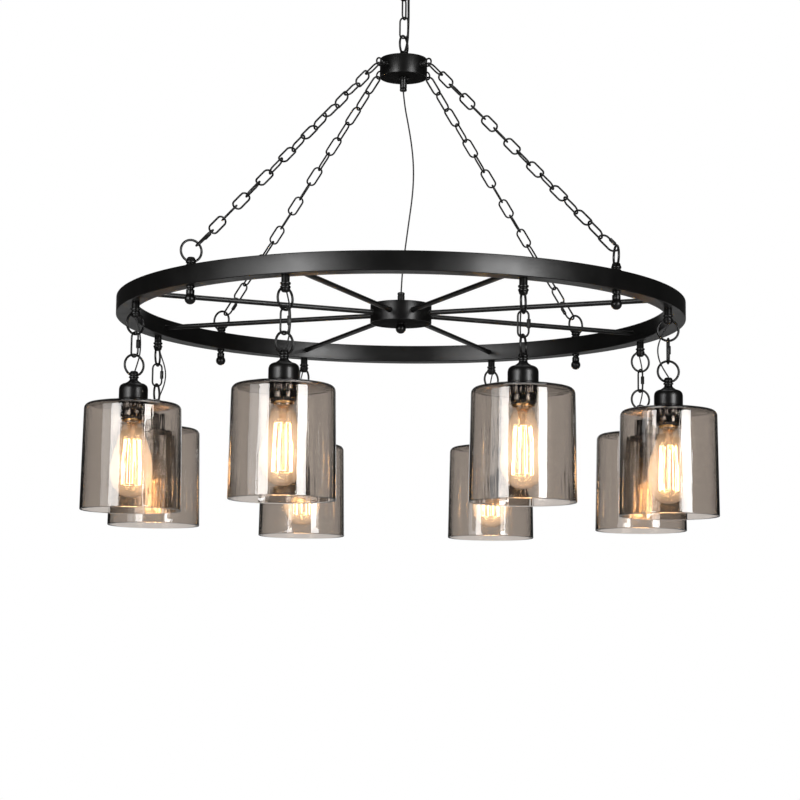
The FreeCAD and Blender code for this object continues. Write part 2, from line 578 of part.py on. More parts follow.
def cord(name, points, radius, sides):
    """A tube along a rounded route.  Its length, bends and volume are printed."""
    path = rounded(points)
    tube = swept(path, radius, sides, V(0.6, 0.8, 0), closed=False, end_cut=Z)
    section = sides / 2 * math.sin(2 * math.pi / sides) * radius ** 2
    tightest = min(corner_radius(*three) for three in zip(points, points[1:], points[2:]))
    print("cord %-8s length %6.1f  tightest radius %5.1f  diameter %3.1f  volume %.4f of section x length"
          % (name, length_of(path), tightest, 2 * radius, tube.Volume / (section * length_of(path))))
    return tube


def routed(route, top, bottom, sideways, lengthways, start):
    """Points of a cord from its upper to its lower end, both 'start' off the axis."""
    inner = [top + sideways * s + lengthways * a - Z * drop for s, a, drop in route]
    return [top + sideways * start] + inner + [bottom + sideways * start]


export("hub_cord", cord("hub", routed(HUB_ROUTE, V(0, 0, gland_end), V(0, 0, hub_gland_end),
                                      V(1, 0, 0), V(0, 1, 0), 0), HUB_CORD_R, 6))

# the feed keeps clear of the chain's links, which stand in two planes at right angles
export("feed_cord", cord("feed", routed(FEED_ROUTE, V(0, 0, canopy_foot - COLLAR_HEIGHT),
                                        V(0, 0, drum_top + COLLAR_HEIGHT), top_axis.cross(Z),
                                        top_axis, FEED_EXIT), FEED_CORD_R, 6))

leads = []
for number, (az, turn, route) in enumerate(zip(AZIMUTHS, LAMP_TURNS, LEAD_ROUTES), 1):
    along = polar(1, 90 - turn)
    top = polar(RIM_LINE_R, az, rim_bottom - HANGER_TUBE_LENGTH - COLLAR_HEIGHT)
    points = routed(route, top, polar(RIM_LINE_R, az, lamp_collar_top), along.cross(Z), along,
                    math.copysign(LEAD_EXIT, route[0][0]))
    leads.append(cord("lead %d" % number, points, LEAD_R, 4))
export("lamp_leads", *leads)

for name in ("drum_mid", "wheel_z", "rim_top", "rim_bottom", "SWAY_Z", "TURN_Z", "TILT_Z",
             "LINK_SWING_Z", "LAMP_SWING_Z", "cup_bottom", "gland_end", "hub_gland_end"):
    print("%-14s %9.3f" % (name, globals()[name]))
print("chain span", round(CHAIN_SPAN, 2))
print("pieces", sum(len(s.Solids) for s in NODES.values()), "nodes", len(NODES))
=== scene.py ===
# %% [markdown]
# A wagon wheel chandelier: eight glass lamps hang under a steel ring, and four chains carry
# the ring from a small drum.  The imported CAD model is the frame: it says where every piece
# is.  Here each piece gets its smooth surface, its finish and its small detail.

# %% Load the frame
import bpy
import bmesh
import json
import math
from mathutils import Matrix, Vector


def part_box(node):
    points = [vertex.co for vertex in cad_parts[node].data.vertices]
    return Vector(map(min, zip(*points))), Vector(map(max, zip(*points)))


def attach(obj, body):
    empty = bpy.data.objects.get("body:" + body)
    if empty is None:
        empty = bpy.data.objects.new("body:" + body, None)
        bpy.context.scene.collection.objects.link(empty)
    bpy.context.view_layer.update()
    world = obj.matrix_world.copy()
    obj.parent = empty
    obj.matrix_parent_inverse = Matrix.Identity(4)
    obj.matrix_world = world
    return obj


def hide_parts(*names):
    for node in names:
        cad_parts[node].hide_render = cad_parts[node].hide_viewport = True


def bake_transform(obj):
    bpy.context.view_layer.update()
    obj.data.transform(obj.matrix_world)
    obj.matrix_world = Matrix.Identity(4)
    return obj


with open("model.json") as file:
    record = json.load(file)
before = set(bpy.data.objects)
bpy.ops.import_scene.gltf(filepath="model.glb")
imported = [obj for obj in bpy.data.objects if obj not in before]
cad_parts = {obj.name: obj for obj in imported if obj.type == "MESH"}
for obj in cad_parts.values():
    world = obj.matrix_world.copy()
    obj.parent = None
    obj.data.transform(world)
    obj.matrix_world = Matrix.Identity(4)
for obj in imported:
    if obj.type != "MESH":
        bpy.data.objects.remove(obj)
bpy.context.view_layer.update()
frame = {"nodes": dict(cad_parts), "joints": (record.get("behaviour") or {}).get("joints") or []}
MM = 0.001
ACROSS, AWAY, UP = Vector((1, 0, 0)), Vector((0, 1, 0)), Vector((0, 0, 1))
JOINTS = {joint["name"]: joint for joint in frame["joints"]}

# %% [markdown]
# Heights and radii come from the frame, so that nothing here can drift from the CAD model.
# Only what a box can't tell, such as a wire's thickness, is a named size of its own.

# %% Levels and sizes
rim_low, rim_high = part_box("wheel_rim")
WHEEL_Z = (rim_low.z + rim_high.z) / 2
RIM_R, RIM_WIDTH = rim_high.x, 28 * MM
CUP_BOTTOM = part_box("lamp_1_shade")[1].z
RING_R, RING_WIRE_R, RING_SINK = 16.0 * MM, 1.8 * MM, 8.8 * MM
COLLAR_R, COLLAR_HEIGHT, LAMP_COLLAR_HEIGHT = 7.6 * MM, 14 * MM, 10.5 * MM
NECK_HEIGHT, CUP_HEIGHT, CUP_R = 8.2 * MM, 25 * MM, 21.8 * MM
LAMPS = 8
print("wheel middle", round(WHEEL_Z, 4), "cup bottom", round(CUP_BOTTOM, 4))

# %% [markdown]
# The camera stands below the wheel and looks a little up, as the photograph does.  Its place
# was worked out from the wheel's ellipse.

# %% Camera
CAMERA_DISTANCE = 3.3157           # from the wheel's axis, level
CAMERA_DROP = 0.560                # below the middle of the wheel
CAMERA_BEARING = 0.652             # degrees clockwise from +Y, where it looks
CAMERA_TILT, CAMERA_ROLL = 7.26, 0.61   # degrees up, and round its own line of sight
FOCAL_PIXELS, FRAME_PIXELS = 2108.7, 800
SENSOR_WIDTH = 36                  # millimetres, Blender's own

camera = bpy.data.objects.new("camera", bpy.data.cameras.new("camera"))
bpy.context.scene.collection.objects.link(camera)
camera.data.sensor_width = SENSOR_WIDTH
camera.data.lens = SENSOR_WIDTH * FOCAL_PIXELS / FRAME_PIXELS
bearing = math.radians(CAMERA_BEARING)
outward = Vector((math.sin(bearing), math.cos(bearing), 0))
camera.location = outward * -CAMERA_DISTANCE + UP * (WHEEL_Z - CAMERA_DROP)
camera.rotation_euler = (Matrix.Rotation(-bearing, 3, "Z")
                         @ Matrix.Rotation(math.radians(90 + CAMERA_TILT), 3, "X")
                         @ Matrix.Rotation(math.radians(CAMERA_ROLL), 3, "Z")).to_euler()
bpy.context.scene.camera = camera
bpy.context.scene.view_settings.view_transform = "Standard"
print("camera at", [round(value, 3) for value in camera.location])

# %% [markdown]
# Most small parts of a lamp are turned on a lathe, and start as an outline of radius and
# height.  Two helpers refine an outline.  One eases its corners, as a polishing wheel leaves
# them.  The other runs a smooth line through its points, for glass that is blown.

# %% Outlines
ROOM_BESIDE_CORNER = 0.45           # of each side, so that two eased corners don't meet
STRAIGHT_ANGLE = 0.05               # a corner flatter than this, in radians, stays as it is


def eased(outline, radius, steps=3):
    """The outline with its corners rounded, where both sides leave room."""
    points, count = [], len(outline)
    for i, (r, z) in enumerate(outline):
        before, at = Vector(outline[i - 1]), Vector((r, z))
        after = Vector(outline[(i + 1) % count])
        into, out = at - before, after - at
        reach = min(radius, ROOM_BESIDE_CORNER * into.length, ROOM_BESIDE_CORNER * out.length)
        if r <= 0 or reach <= 0 or into.angle(out, 0) < STRAIGHT_ANGLE:
            points.append((r, z))
            continue
        start, end = at - into.normalized() * reach, at + out.normalized() * reach
        for k in range(steps + 1):
            t = k / steps
            points.append(tuple(start * (1 - t) ** 2 + at * (2 * t * (1 - t)) + end * t ** 2))
    return points


def flowing(outline, steps=5):
    """A smooth line through the outline's points, for blown and cast forms."""
    points = []
    for i in range(len(outline) - 1):
        a, b = Vector(outline[max(i - 1, 0)]), Vector(outline[i])
        c, d = Vector(outline[i + 1]), Vector(outline[min(i + 2, len(outline) - 1)])
        for k in range(steps):
            t = k / steps
            p = 0.5 * (2 * b + (c - a) * t + (2 * a - 5 * b + 4 * c - d) * t ** 2
                       + (3 * b - a - 3 * c + d) * t ** 3)
            points.append((max(p.x, 0.0), p.y))
    return points + [tuple(outline[-1])]


print("an eased triangle has", len(eased([(0, 0), (1, 0), (1, 1)], 0.1)), "points")

# %% [markdown]
# Turning an outline gives rows of points round the axis and faces between the rows.  An
# outline point on the axis closes the shape in a single vertex.  Blender's Spin would do the
# same, but can turn a shape inside out, so every mesh here has its normals recalculated.

# %% Turned shapes
SHARP = 38                          # degrees between two faces from which their edge is sharp


def finished_mesh(name, vertices, faces, sharp=SHARP):
    mesh = bpy.data.meshes.new(name)
    mesh.from_pydata([tuple(v) for v in vertices], [], faces)
    shape = bmesh.new()
    shape.from_mesh(mesh)
    bmesh.ops.remove_doubles(shape, verts=shape.verts, dist=1e-7)
    bmesh.ops.recalc_face_normals(shape, faces=shape.faces)
    shape.to_mesh(mesh)
    shape.free()
    mesh.shade_smooth()
    mesh.set_sharp_from_angle(angle=math.radians(sharp))
    return mesh


def turned(name, outline, sides=48, sharp=SHARP):
    """Turns a closed (radius, z) outline about Z."""
    vertices, rows, faces = [], [], []
    for r, z in outline:
        if r <= 1e-9:
            rows.append([len(vertices)] * sides)
            vertices.append((0, 0, z))
            continue
        rows.append(list(range(len(vertices), len(vertices) + sides)))
        for k in range(sides):
            a = 2 * math.pi * k / sides
            vertices.append((r * math.cos(a), r * math.sin(a), z))
    for i, row in enumerate(rows):
        following = rows[(i + 1) % len(rows)]
        for k in range(sides):
            n = (k + 1) % sides
            corners = list(dict.fromkeys((row[k], row[n], following[n], following[k])))
            if len(corners) > 2:
                faces.append(corners)
    return finished_mesh(name, vertices, faces, sharp)


print("edges are sharp from", SHARP, "degrees")

# %% [markdown]
# Rings, links and wires are rods bent along a line.  A section is carried along the line
# without twist, so that a closed ring meets itself cleanly.

# %% Bent rods
def rod(name, path, radius, sides=10, closed=False):
    path = [Vector(p) for p in path]
    count = len(path)
    tangents = []
    for i in range(count):
        before = path[i - 1] if closed or i else path[i]
        after = path[(i + 1) % count] if closed or i < count - 1 else path[i]
        tangents.append((after - before).normalized())
    side = tangents[0].orthogonal().normalized()
    vertices, faces = [], []
    for i, tangent in enumerate(tangents):
        if i:
            side = tangents[i - 1].rotation_difference(tangent) @ side
        up = tangent.cross(side)
        for k in range(sides):
            a = 2 * math.pi * k / sides
            vertices.append(path[i] + side * (radius * math.cos(a)) + up * (radius * math.sin(a)))
    for i in range(count if closed else count - 1):
        j = (i + 1) % count
        for k in range(sides):
            n = (k + 1) % sides
            faces.append((i * sides + k, i * sides + n, j * sides + n, j * sides + k))
    if not closed:
        faces.append(tuple(range(sides)))
        faces.append(tuple(range((count - 1) * sides, count * sides)))
    return finished_mesh(name, vertices, faces, sharp=50)


print("a rod has 10 sides where nothing else is said")

# %% [markdown]
# The lines that rods follow here are circles and the long ovals of chain links.  A ring and
# its collar, or a quick link and its sleeve, are joined in one mesh, as they are brazed or
# screwed together on the real lamp.

# %% Rings, ovals and joins
def ring_path(radius, middle_z=0.0, steps=40):
    """A circle in the XZ plane."""
    turns = [2 * math.pi * k / steps for k in range(steps)]
    return [(radius * math.sin(a), 0, middle_z + radius * math.cos(a)) for a in turns]


def oval_path(half_length, half_width, steps=9, gap=0.0):
    """A chain link's line in the XZ plane.  A gap leaves the +X side open."""
    straight = half_length - half_width
    points = [(half_width, 0, gap / 2)] if gap else []
    for sign in (1, -1):
        for k in range(steps + 1):
            a = math.pi * k / steps
            points.append((sign * half_width * math.cos(a), 0,
                           sign * (straight + half_width * math.sin(a))))
    return points + ([(half_width, 0, -gap / 2)] if gap else [])


def joined(name, *meshes):
    """One mesh of several."""
    shape = bmesh.new()
    for mesh in meshes:
        shape.from_mesh(mesh)
    result = bpy.data.meshes.new(name)
    shape.to_mesh(result)
    shape.free()
    result.shade_smooth()
    result.set_sharp_from_angle(angle=math.radians(SHARP))
    return result


def moved(mesh, matrix):
    copy = mesh.copy()
    copy.transform(matrix)
    return copy


print("a ring's line has", len(ring_path(1.0)), "points")

# %% [markdown]
# Black powder coat is not one black.  It has a fine orange peel, thin dusty patches and
# slightly polished spots, and these change its shine more than its colour.  Several finishes
# need the same grain, so it is a shader node group with named inputs.

# %% Shared grain
def node_in(tree, kind, **settings):
    node = tree.nodes.new(kind)
    for key, value in settings.items():
        setattr(node, key, value)
    return node


def grain_group():
    tree = bpy.data.node_groups.new("grain", "ShaderNodeTree")
    face = tree.interface
    for name, kind, value in (
            ("Size", "Float", 900.0), ("Patch Size", "Float", 22.0),
            ("Lowest Roughness", "Float", 0.3), ("Highest Roughness", "Float", 0.45),
            ("Dark", "Color", (0.02, 0.02, 0.02, 1)), ("Light", "Color", (0.03, 0.03, 0.03, 1))):
        socket = face.new_socket(name, in_out="INPUT", socket_type="NodeSocket" + kind)
        socket.default_value = value
    for name, kind in (("Color", "Color"), ("Roughness", "Float"), ("Height", "Float")):
        face.new_socket(name, in_out="OUTPUT", socket_type="NodeSocket" + kind)
    given, result = node_in(tree, "NodeGroupInput"), node_in(tree, "NodeGroupOutput")
    place = node_in(tree, "ShaderNodeTexCoord")
    fine = node_in(tree, "ShaderNodeTexNoise")
    patches = node_in(tree, "ShaderNodeTexNoise")
    patches.inputs["Detail"].default_value = 5
    spread = node_in(tree, "ShaderNodeMapRange")
    colour = node_in(tree, "ShaderNodeMix", data_type="RGBA")
    link = tree.links.new
    link(place.outputs["Object"], fine.inputs["Vector"])
    link(place.outputs["Object"], patches.inputs["Vector"])
    link(given.outputs["Size"], fine.inputs["Scale"])
    link(given.outputs["Patch Size"], patches.inputs["Scale"])
    spread.inputs["From Min"].default_value = 0.3
    spread.inputs["From Max"].default_value = 0.7
    link(patches.outputs["Fac"], spread.inputs["Value"])
    link(given.outputs["Lowest Roughness"], spread.inputs["To Min"])
    link(given.outputs["Highest Roughness"], spread.inputs["To Max"])
    link(patches.outputs["Fac"], colour.inputs["Factor"])
    link(given.outputs["Dark"], colour.inputs["A"])
    link(given.outputs["Light"], colour.inputs["B"])
    link(colour.outputs["Result"], result.inputs["Color"])
    link(spread.outputs["Result"], result.inputs["Roughness"])
    link(fine.outputs["Fac"], result.inputs["Height"])
    return tree


GRAIN = grain_group()
print("grain sockets:", [item.name for item in GRAIN.interface.items_tree])

# %% [markdown]
# Each finish places the group in a material of its own and gives it colours, sizes and a
# range of roughness.  What is the same all over, such as the gloss of a clear coat, is set
# on the shader's own socket.

# %% A finish from the grain
GRAIN_DEPTH = 0.0004


def grained(name, dark, light, rough, size=900, patch=22, bump=0.06, metallic=0.0, **sockets):
    """A finish from the shared grain.  'rough' is its lowest and highest roughness."""
    material = bpy.data.materials.new(name)
    material.use_nodes = True
    tree = material.node_tree
    shader = tree.nodes["Principled BSDF"]
    grain = node_in(tree, "ShaderNodeGroup", node_tree=GRAIN)
    values = {"Size": size, "Patch Size": patch, "Lowest Roughness": rough[0],
              "Highest Roughness": rough[1], "Dark": (*dark, 1), "Light": (*light, 1)}
    for key, value in values.items():
        grain.inputs[key].default_value = value
    relief = node_in(tree, "ShaderNodeBump")
    relief.inputs["Strength"].default_value = bump
    relief.inputs["Distance"].default_value = GRAIN_DEPTH
    tree.links.new(grain.outputs["Color"], shader.inputs["Base Color"])
    tree.links.new(grain.outputs["Roughness"], shader.inputs["Roughness"])
    tree.links.new(grain.outputs["Height"], relief.inputs["Height"])
    tree.links.new(relief.outputs["Normal"], shader.inputs["Normal"])
    shader.inputs["Metallic"].default_value = metallic
    for key, value in sockets.items():
        shader.inputs[key.replace("_", " ")].default_value = value
    return material


print("grain is", round(GRAIN_DEPTH / MM, 1), "mm deep at most")

# %% [markdown]
# The finishes.  All the steel is powder coated in a warm satin black.  Sockets and shade
# rings are moulded in a glossier black, and the lamp caps are brass.

# %% Finishes
BLACK_STEEL = grained("satin black powder coat", (0.0014, 0.0013, 0.0012),
                      (0.0036, 0.0034, 0.0032), (0.28, 0.38), Specular_IOR_Level=0.33)
MATT_PLATE = grained("matt black plate", (0.004, 0.0038, 0.0035), (0.009, 0.0085, 0.008),
                     (0.6, 0.75), patch=30, bump=0.1, Specular_IOR_Level=0.04)
BLACK_CHAIN = grained("black chain steel", (0.004, 0.004, 0.004), (0.010, 0.0095, 0.009),
                      (0.36, 0.5), patch=60, Specular_IOR_Level=0.31)
BLACK_MOULDING = grained("black socket moulding", (0.004, 0.004, 0.004), (0.008, 0.0075, 0.007),
                         (0.10, 0.16), patch=40, bump=0.03, Specular_IOR_Level=0.5,
                         Coat_Weight=1.0, Coat_IOR=2.2, Coat_Roughness=0.08)
BLACK_FLEX = grained("black flex", (0.006, 0.006, 0.006), (0.013, 0.013, 0.013),
                     (0.38, 0.5), size=1600, patch=80, Specular_IOR_Level=0.25)
BRASS = grained("lamp cap brass", (0.62, 0.40, 0.17), (0.82, 0.56, 0.27), (0.2, 0.34),
                size=1500, patch=90, metallic=1.0)
ZINC = grained("zinc plate", (0.30, 0.30, 0.31), (0.44, 0.44, 0.45), (0.30, 0.45),
               size=700, patch=45, metallic=1.0)
MOUNT_WIRE = grained("lamp mount wire", (0.35, 0.34, 0.33), (0.5, 0.49, 0.48), (0.25, 0.35),
                     size=2500, patch=120, metallic=1.0)
print("finishes so far:", [material.name for material in bpy.data.materials])

# %% [markdown]
# Glass is mostly what it reflects and bends.  Blown glass is never quite even: slow ripples
# run down the wall and break reflections into streaks, and its tint comes and goes with
# them.  One noise that is stretched along the height makes both.  Near a filament the glass
# has a painted glow, an emission that stands in for the filament's light scattered in it,
# and an attribute on the mesh says where.

# %% Glass
UNEVEN = 0.07                       # how far the tint comes and goes


def glass(name, tint, ripple_size, ripple_depth, stretch, ior=1.45, polish=0.0,
          painted_glow=None, outline=None):
    """Clear or tinted glass, with an optional painted glow: the glow's colour is given, and a mesh
    attribute of the same name says how much of it each point shows.

    'outline' is the tint where the glass is seen edge on.
    """
    material = bpy.data.materials.new(name)
    material.use_nodes = True
    tree = material.node_tree
    shader = tree.nodes["Principled BSDF"]
    shader.inputs["Transmission Weight"].default_value = 1.0
    shader.inputs["IOR"].default_value = ior
    shader.inputs["Roughness"].default_value = 0.0
    shader.inputs["Coat Weight"].default_value = polish
    shader.inputs["Coat Roughness"].default_value = 0.02
    shader.inputs["Coat IOR"].default_value = 2.0
    place = node_in(tree, "ShaderNodeTexCoord")
    squeeze = node_in(tree, "ShaderNodeMapping")
    squeeze.inputs["Scale"].default_value = (1, 1, stretch)
    ripple = node_in(tree, "ShaderNodeTexNoise")
    ripple.inputs["Scale"].default_value = ripple_size
    ripple.inputs["Detail"].default_value = 3.0
    colour = node_in(tree, "ShaderNodeMix", data_type="RGBA")
    colour.inputs["A"].default_value = (*[(1 - UNEVEN) * c for c in tint], 1)
    colour.inputs["B"].default_value = (*[min((1 + UNEVEN) * c, 1) for c in tint], 1)
    edge = node_in(tree, "ShaderNodeLayerWeight")
    edge.inputs["Blend"].default_value = 0.25
    edged = node_in(tree, "ShaderNodeMix", data_type="RGBA")
    edged.inputs["B"].default_value = (*(outline or [c ** 0.8 for c in tint]), 1)
    relief = node_in(tree, "ShaderNodeBump")
    relief.inputs["Strength"].default_value = 1.0
    relief.inputs["Distance"].default_value = ripple_depth
    link = tree.links.new
    link(place.outputs["Object"], squeeze.inputs["Vector"])
    link(squeeze.outputs["Vector"], ripple.inputs["Vector"])
    link(ripple.outputs["Fac"], colour.inputs["Factor"])
    link(colour.outputs["Result"], edged.inputs["A"])
    link(edge.outputs["Facing"], edged.inputs["Factor"])
    link(edged.outputs["Result"], shader.inputs["Base Color"])
    link(ripple.outputs["Fac"], relief.inputs["Height"])
    link(relief.outputs["Normal"], shader.inputs["Normal"])
    # Painted glow: an emission that stands in for a filament's light scattered in the glass.
    if painted_glow:
        shader.inputs["Emission Strength"].default_value = 1.0
        lit = node_in(tree, "ShaderNodeAttribute", attribute_name="painted_glow")
        amber = node_in(tree, "ShaderNodeMix", data_type="RGBA")
        amber.inputs["A"].default_value = (0, 0, 0, 1)
        amber.inputs["B"].default_value = (*painted_glow, 1)
        link(lit.outputs["Fac"], amber.inputs["Factor"])
        link(amber.outputs["Result"], shader.inputs["Emission Color"])
    return material


print("tint comes and goes by", UNEVEN)

# %% [markdown]
# The filament is a wire that glows.  Its heat is a little uneven, so a noise mixes two tones
# of the same orange.

# %% Glow
def glow(name, colour, strength):
    """Hot wire: a little uneven along its length, as a filament's coils are."""
    material = bpy.data.materials.new(name)
    material.use_nodes = True
    tree = material.node_tree
    shader = tree.nodes["Principled BSDF"]
    shader.inputs["Base Color"].default_value = (0.3, 0.12, 0.03, 1)
    shader.inputs["Emission Strength"].default_value = strength
    place = node_in(tree, "ShaderNodeTexCoord")
    heat = node_in(tree, "ShaderNodeTexNoise")
    heat.inputs["Scale"].default_value = 140
    ramp = node_in(tree, "ShaderNodeMix", data_type="RGBA")
    ramp.inputs["A"].default_value = (*[0.8 * c for c in colour], 1)
    ramp.inputs["B"].default_value = (*colour, 1)
    tree.links.new(place.outputs["Object"], heat.inputs["Vector"])
    tree.links.new(heat.outputs["Fac"], ramp.inputs["Factor"])
    tree.links.new(ramp.outputs["Result"], shader.inputs["Emission Color"])
    return material


SHADE_GLASS = glass("smoked shade glass", (0.55, 0.505, 0.465), 70, 0.0006, stretch=0.03)
# The bulb and its stem get a painted glow near the filament.
BULB_GLASS = glass("clear bulb glass", (0.99, 0.96, 0.91), 60, 0.0001, stretch=0.5, ior=1.0,
                   polish=1.0, painted_glow=(0.85, 0.58, 0.36), outline=(0.40, 0.34, 0.30))
STEM_GLASS = glass("bulb stem glass", (0.96, 0.90, 0.82), 90, 0.0001, stretch=0.5, ior=1.5,
                   polish=0.5, painted_glow=(0.35, 0.15, 0.05))
FILAMENT = glow("filament glow", (1.0, 0.62, 0.27), 130)
print("finishes", len(bpy.data.materials))

# %% [markdown]
# Every piece of the chandelier is an object at the origin whose place is in its mesh.  This
# keeps patterns still on the piece, and lets each piece ride on the CAD body that carries it.

# %% Adding a piece
def piece(name, mesh, finish, body, replaces=()):
    obj = bpy.data.objects.new(name, mesh)
    bpy.context.scene.collection.objects.link(obj)
    mesh.materials.clear()
    mesh.materials.append(finish)
    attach(obj, body)
    if replaces:
        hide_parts(*replaces)


def pointing(at, x_axis, z_axis=UP):
    """Matrix that puts a piece's own X and Z along the given directions."""
    z = Vector(z_axis).normalized()
    x = (Vector(x_axis) - z * Vector(x_axis).dot(z)).normalized()
    turn = Matrix((x, z.cross(x), z)).transposed().to_4x4()
    return Matrix.Translation(at) @ turn


# %% [markdown]
# Chain links, loops, spokes and finials repeat.  The frame already holds each copy's place
# in its solids, so the script reads it there.  A node's mesh is parted by walking along its
# edges: what can't be reached is another solid.  The walk starts in the mesh's own order,
# so that every run finds the solids in the same order.

# %% Solids of a node
MERGE = 2e-6                        # the frame's triangles share corners within this


def solids_of(node):
    """The points of each separate solid of a CAD node."""
    shape = bmesh.new()
    shape.from_mesh(frame["nodes"][node].data)
    bmesh.ops.remove_doubles(shape, verts=shape.verts, dist=MERGE)
    reached, solids = set(), []
    for first in shape.verts:
        if first in reached:
            continue
        reached.add(first)
        to_visit, group = [first], []
        while to_visit:
            vertex = to_visit.pop()
            group.append(vertex.co.copy())
            others = [edge.other_vert(vertex) for edge in vertex.link_edges]
            others = [other for other in others if other not in reached]
            reached.update(others)
            to_visit.extend(others)
        solids.append(group)
    shape.free()
    return solids


def middle_of(points, axes=(ACROSS, AWAY, UP)):
    centre = Vector((0, 0, 0))
    for axis in axes:
        reach = [p.dot(axis) for p in points]
        centre += axis * ((min(reach) + max(reach)) / 2)
    return centre


print("chain_1 has", len(solids_of("chain_1")), "solids")

# %% [markdown]
# A link's turn isn't written anywhere, but its points tell it.  They spread most along its
# length, next along its width, and least across its wire.  Multiplying by the points again
# and again settles on the direction of the largest spread.

# %% Turn of a solid
ROUNDS = 60                         # of multiplying, more than any link here needs


def spread_axis(points, away_from=None):
    """The direction in which points spread most, square to 'away_from' if that is given."""
    mean = sum(points, Vector()) / len(points)
    flat = [p - mean for p in points]
    if away_from:
        flat = [p - away_from * p.dot(away_from) for p in flat]
    axis = max(flat, key=lambda p: p.length)
    for _ in range(ROUNDS):
        axis = sum((p * p.dot(axis) for p in flat), Vector()).normalized()
    return axis


def link_place(points):
    """Place of an oval link: its length along Z and its width along X."""
    long_axis = spread_axis(points)
    wide_axis = spread_axis(points, long_axis)
    centre = middle_of(points, (long_axis, wide_axis, long_axis.cross(wide_axis)))
    return pointing(centre, wide_axis, long_axis)


top_link = link_place(solids_of("ceiling_top_link")[0])
print("top link's length runs along", top_link.col[2].to_3d())

# %% [markdown]
# One Geometry Nodes tree sets out everything that repeats.  It takes points that carry a
# turn, puts the piece on each, makes the copies real and gives them their finish.

# %% Setting-out tree
def set_out_tree():
    tree = bpy.data.node_groups.new("set out pieces", "GeometryNodeTree")
    for name, kind, way in (("Points", "Geometry", "INPUT"), ("Piece", "Object", "INPUT"),
                            ("Finish", "Material", "INPUT"), ("Pieces", "Geometry", "OUTPUT")):
        tree.interface.new_socket(name, in_out=way, socket_type="NodeSocket" + kind)
    given, result = node_in(tree, "NodeGroupInput"), node_in(tree, "NodeGroupOutput")
    source = node_in(tree, "GeometryNodeObjectInfo")
    turn = node_in(tree, "GeometryNodeInputNamedAttribute", data_type="FLOAT_VECTOR")
    turn.inputs["Name"].default_value = "turn"
    euler = node_in(tree, "FunctionNodeEulerToRotation")
    copies = node_in(tree, "GeometryNodeInstanceOnPoints")
    real = node_in(tree, "GeometryNodeRealizeInstances")
    coat = node_in(tree, "GeometryNodeSetMaterial")
    link = tree.links.new
    link(given.outputs["Points"], copies.inputs["Points"])
    link(given.outputs["Piece"], source.inputs["Object"])
    link(source.outputs["Geometry"], copies.inputs["Instance"])
    link(turn.outputs["Attribute"], euler.inputs["Euler"])
    link(euler.outputs["Rotation"], copies.inputs["Rotation"])
    link(copies.outputs["Instances"], real.inputs["Geometry"])
    link(real.outputs["Geometry"], coat.inputs["Geometry"])
    link(given.outputs["Finish"], coat.inputs["Material"])
    link(coat.outputs["Geometry"], result.inputs["Pieces"])
    return tree


SET_OUT = set_out_tree()
SOCKETS = {item.name: item.identifier for item in SET_OUT.interface.items_tree}
print("set-out inputs:", sorted(SOCKETS))

# %% [markdown]
# The tree runs as a modifier on a mesh of bare points.  Its result is read back as a plain
# mesh, and the modifier's object goes, because a finished piece carries no modifier.

# %% Setting pieces out
def set_out(name, mesh, places, finish):
    """A mesh that holds one copy of 'mesh' at each place."""
    points = bpy.data.meshes.new(name)
    points.from_pydata([place.translation for place in places], [], [])
    turns = points.attributes.new("turn", "FLOAT_VECTOR", "POINT")
    for item, place in zip(turns.data, places):
        item.vector = place.to_euler()
    holder = bpy.data.objects.new(name, points)
    pattern = bpy.data.objects.new(name + " pattern", mesh)
    for obj in (holder, pattern):
        bpy.context.scene.collection.objects.link(obj)
    modifier = holder.modifiers.new("set out", "NODES")
    modifier.node_group = SET_OUT
    modifier[SOCKETS["Piece"]] = pattern
    modifier[SOCKETS["Finish"]] = finish
    bpy.context.view_layer.update()
    graph = bpy.context.evaluated_depsgraph_get()
    result = bpy.data.meshes.new_from_object(holder.evaluated_get(graph), depsgraph=graph)
    result.name = name
    bpy.data.objects.remove(holder)
    bpy.data.objects.remove(pattern)
    return result


print("ready to set out pieces with", SET_OUT.name)

# %% [markdown]
# The wheel's ring is a welded box section, rolled into a hoop.  Its edges are softly rounded
# by the coating.

# %% Wheel ring
RIM_EDGE_R, RIM_SIDES = 1.4 * MM, 288

half_height, inner_r = (rim_high.z - rim_low.z) / 2, RIM_R - RIM_WIDTH
rim_outline = [(inner_r, -half_height), (RIM_R, -half_height), (RIM_R, half_height),
               (inner_r, half_height)]
rim = moved(turned("wheel rim", eased(rim_outline, RIM_EDGE_R, 4), RIM_SIDES),
            Matrix.Translation(UP * WHEEL_Z))
piece("wheel_rim_ring", rim, BLACK_STEEL, "fixture", ["wheel_rim"])
print("rim faces", len(rim.polygons))

# %% [markdown]
# The hub and the drum are spun cans, closed below by a plate that sits just inside the
# edge.  Both have a cable gland on the side where the cord enters.

# %% Hub and drum
CAN_WALL, CAN_RECESS = 1.5 * MM, 2.3 * MM   # the plate sits in the recess below
GLAND_R, GLAND_GROOVE, FLANGE = 5.7 * MM, 0.8 * MM, 2.2 * MM


def can(name, node):
    low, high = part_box(node)
    r, inner = (high.x - low.x) / 2, (high.x - low.x) / 2 - CAN_WALL
    outline = [(0, high.z), (r, high.z), (r, low.z), (inner, low.z), (inner, low.z + CAN_RECESS),
               (0, low.z + CAN_RECESS)]
    return turned(name, eased(outline, 0.9 * MM, 3), 96)


def plate(name, node):
    low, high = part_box(node)
    r = (high.x - low.x) / 2
    return turned(name, eased([(0, high.z), (r, high.z), (r, low.z), (0, low.z)], 0.5 * MM, 2), 96)


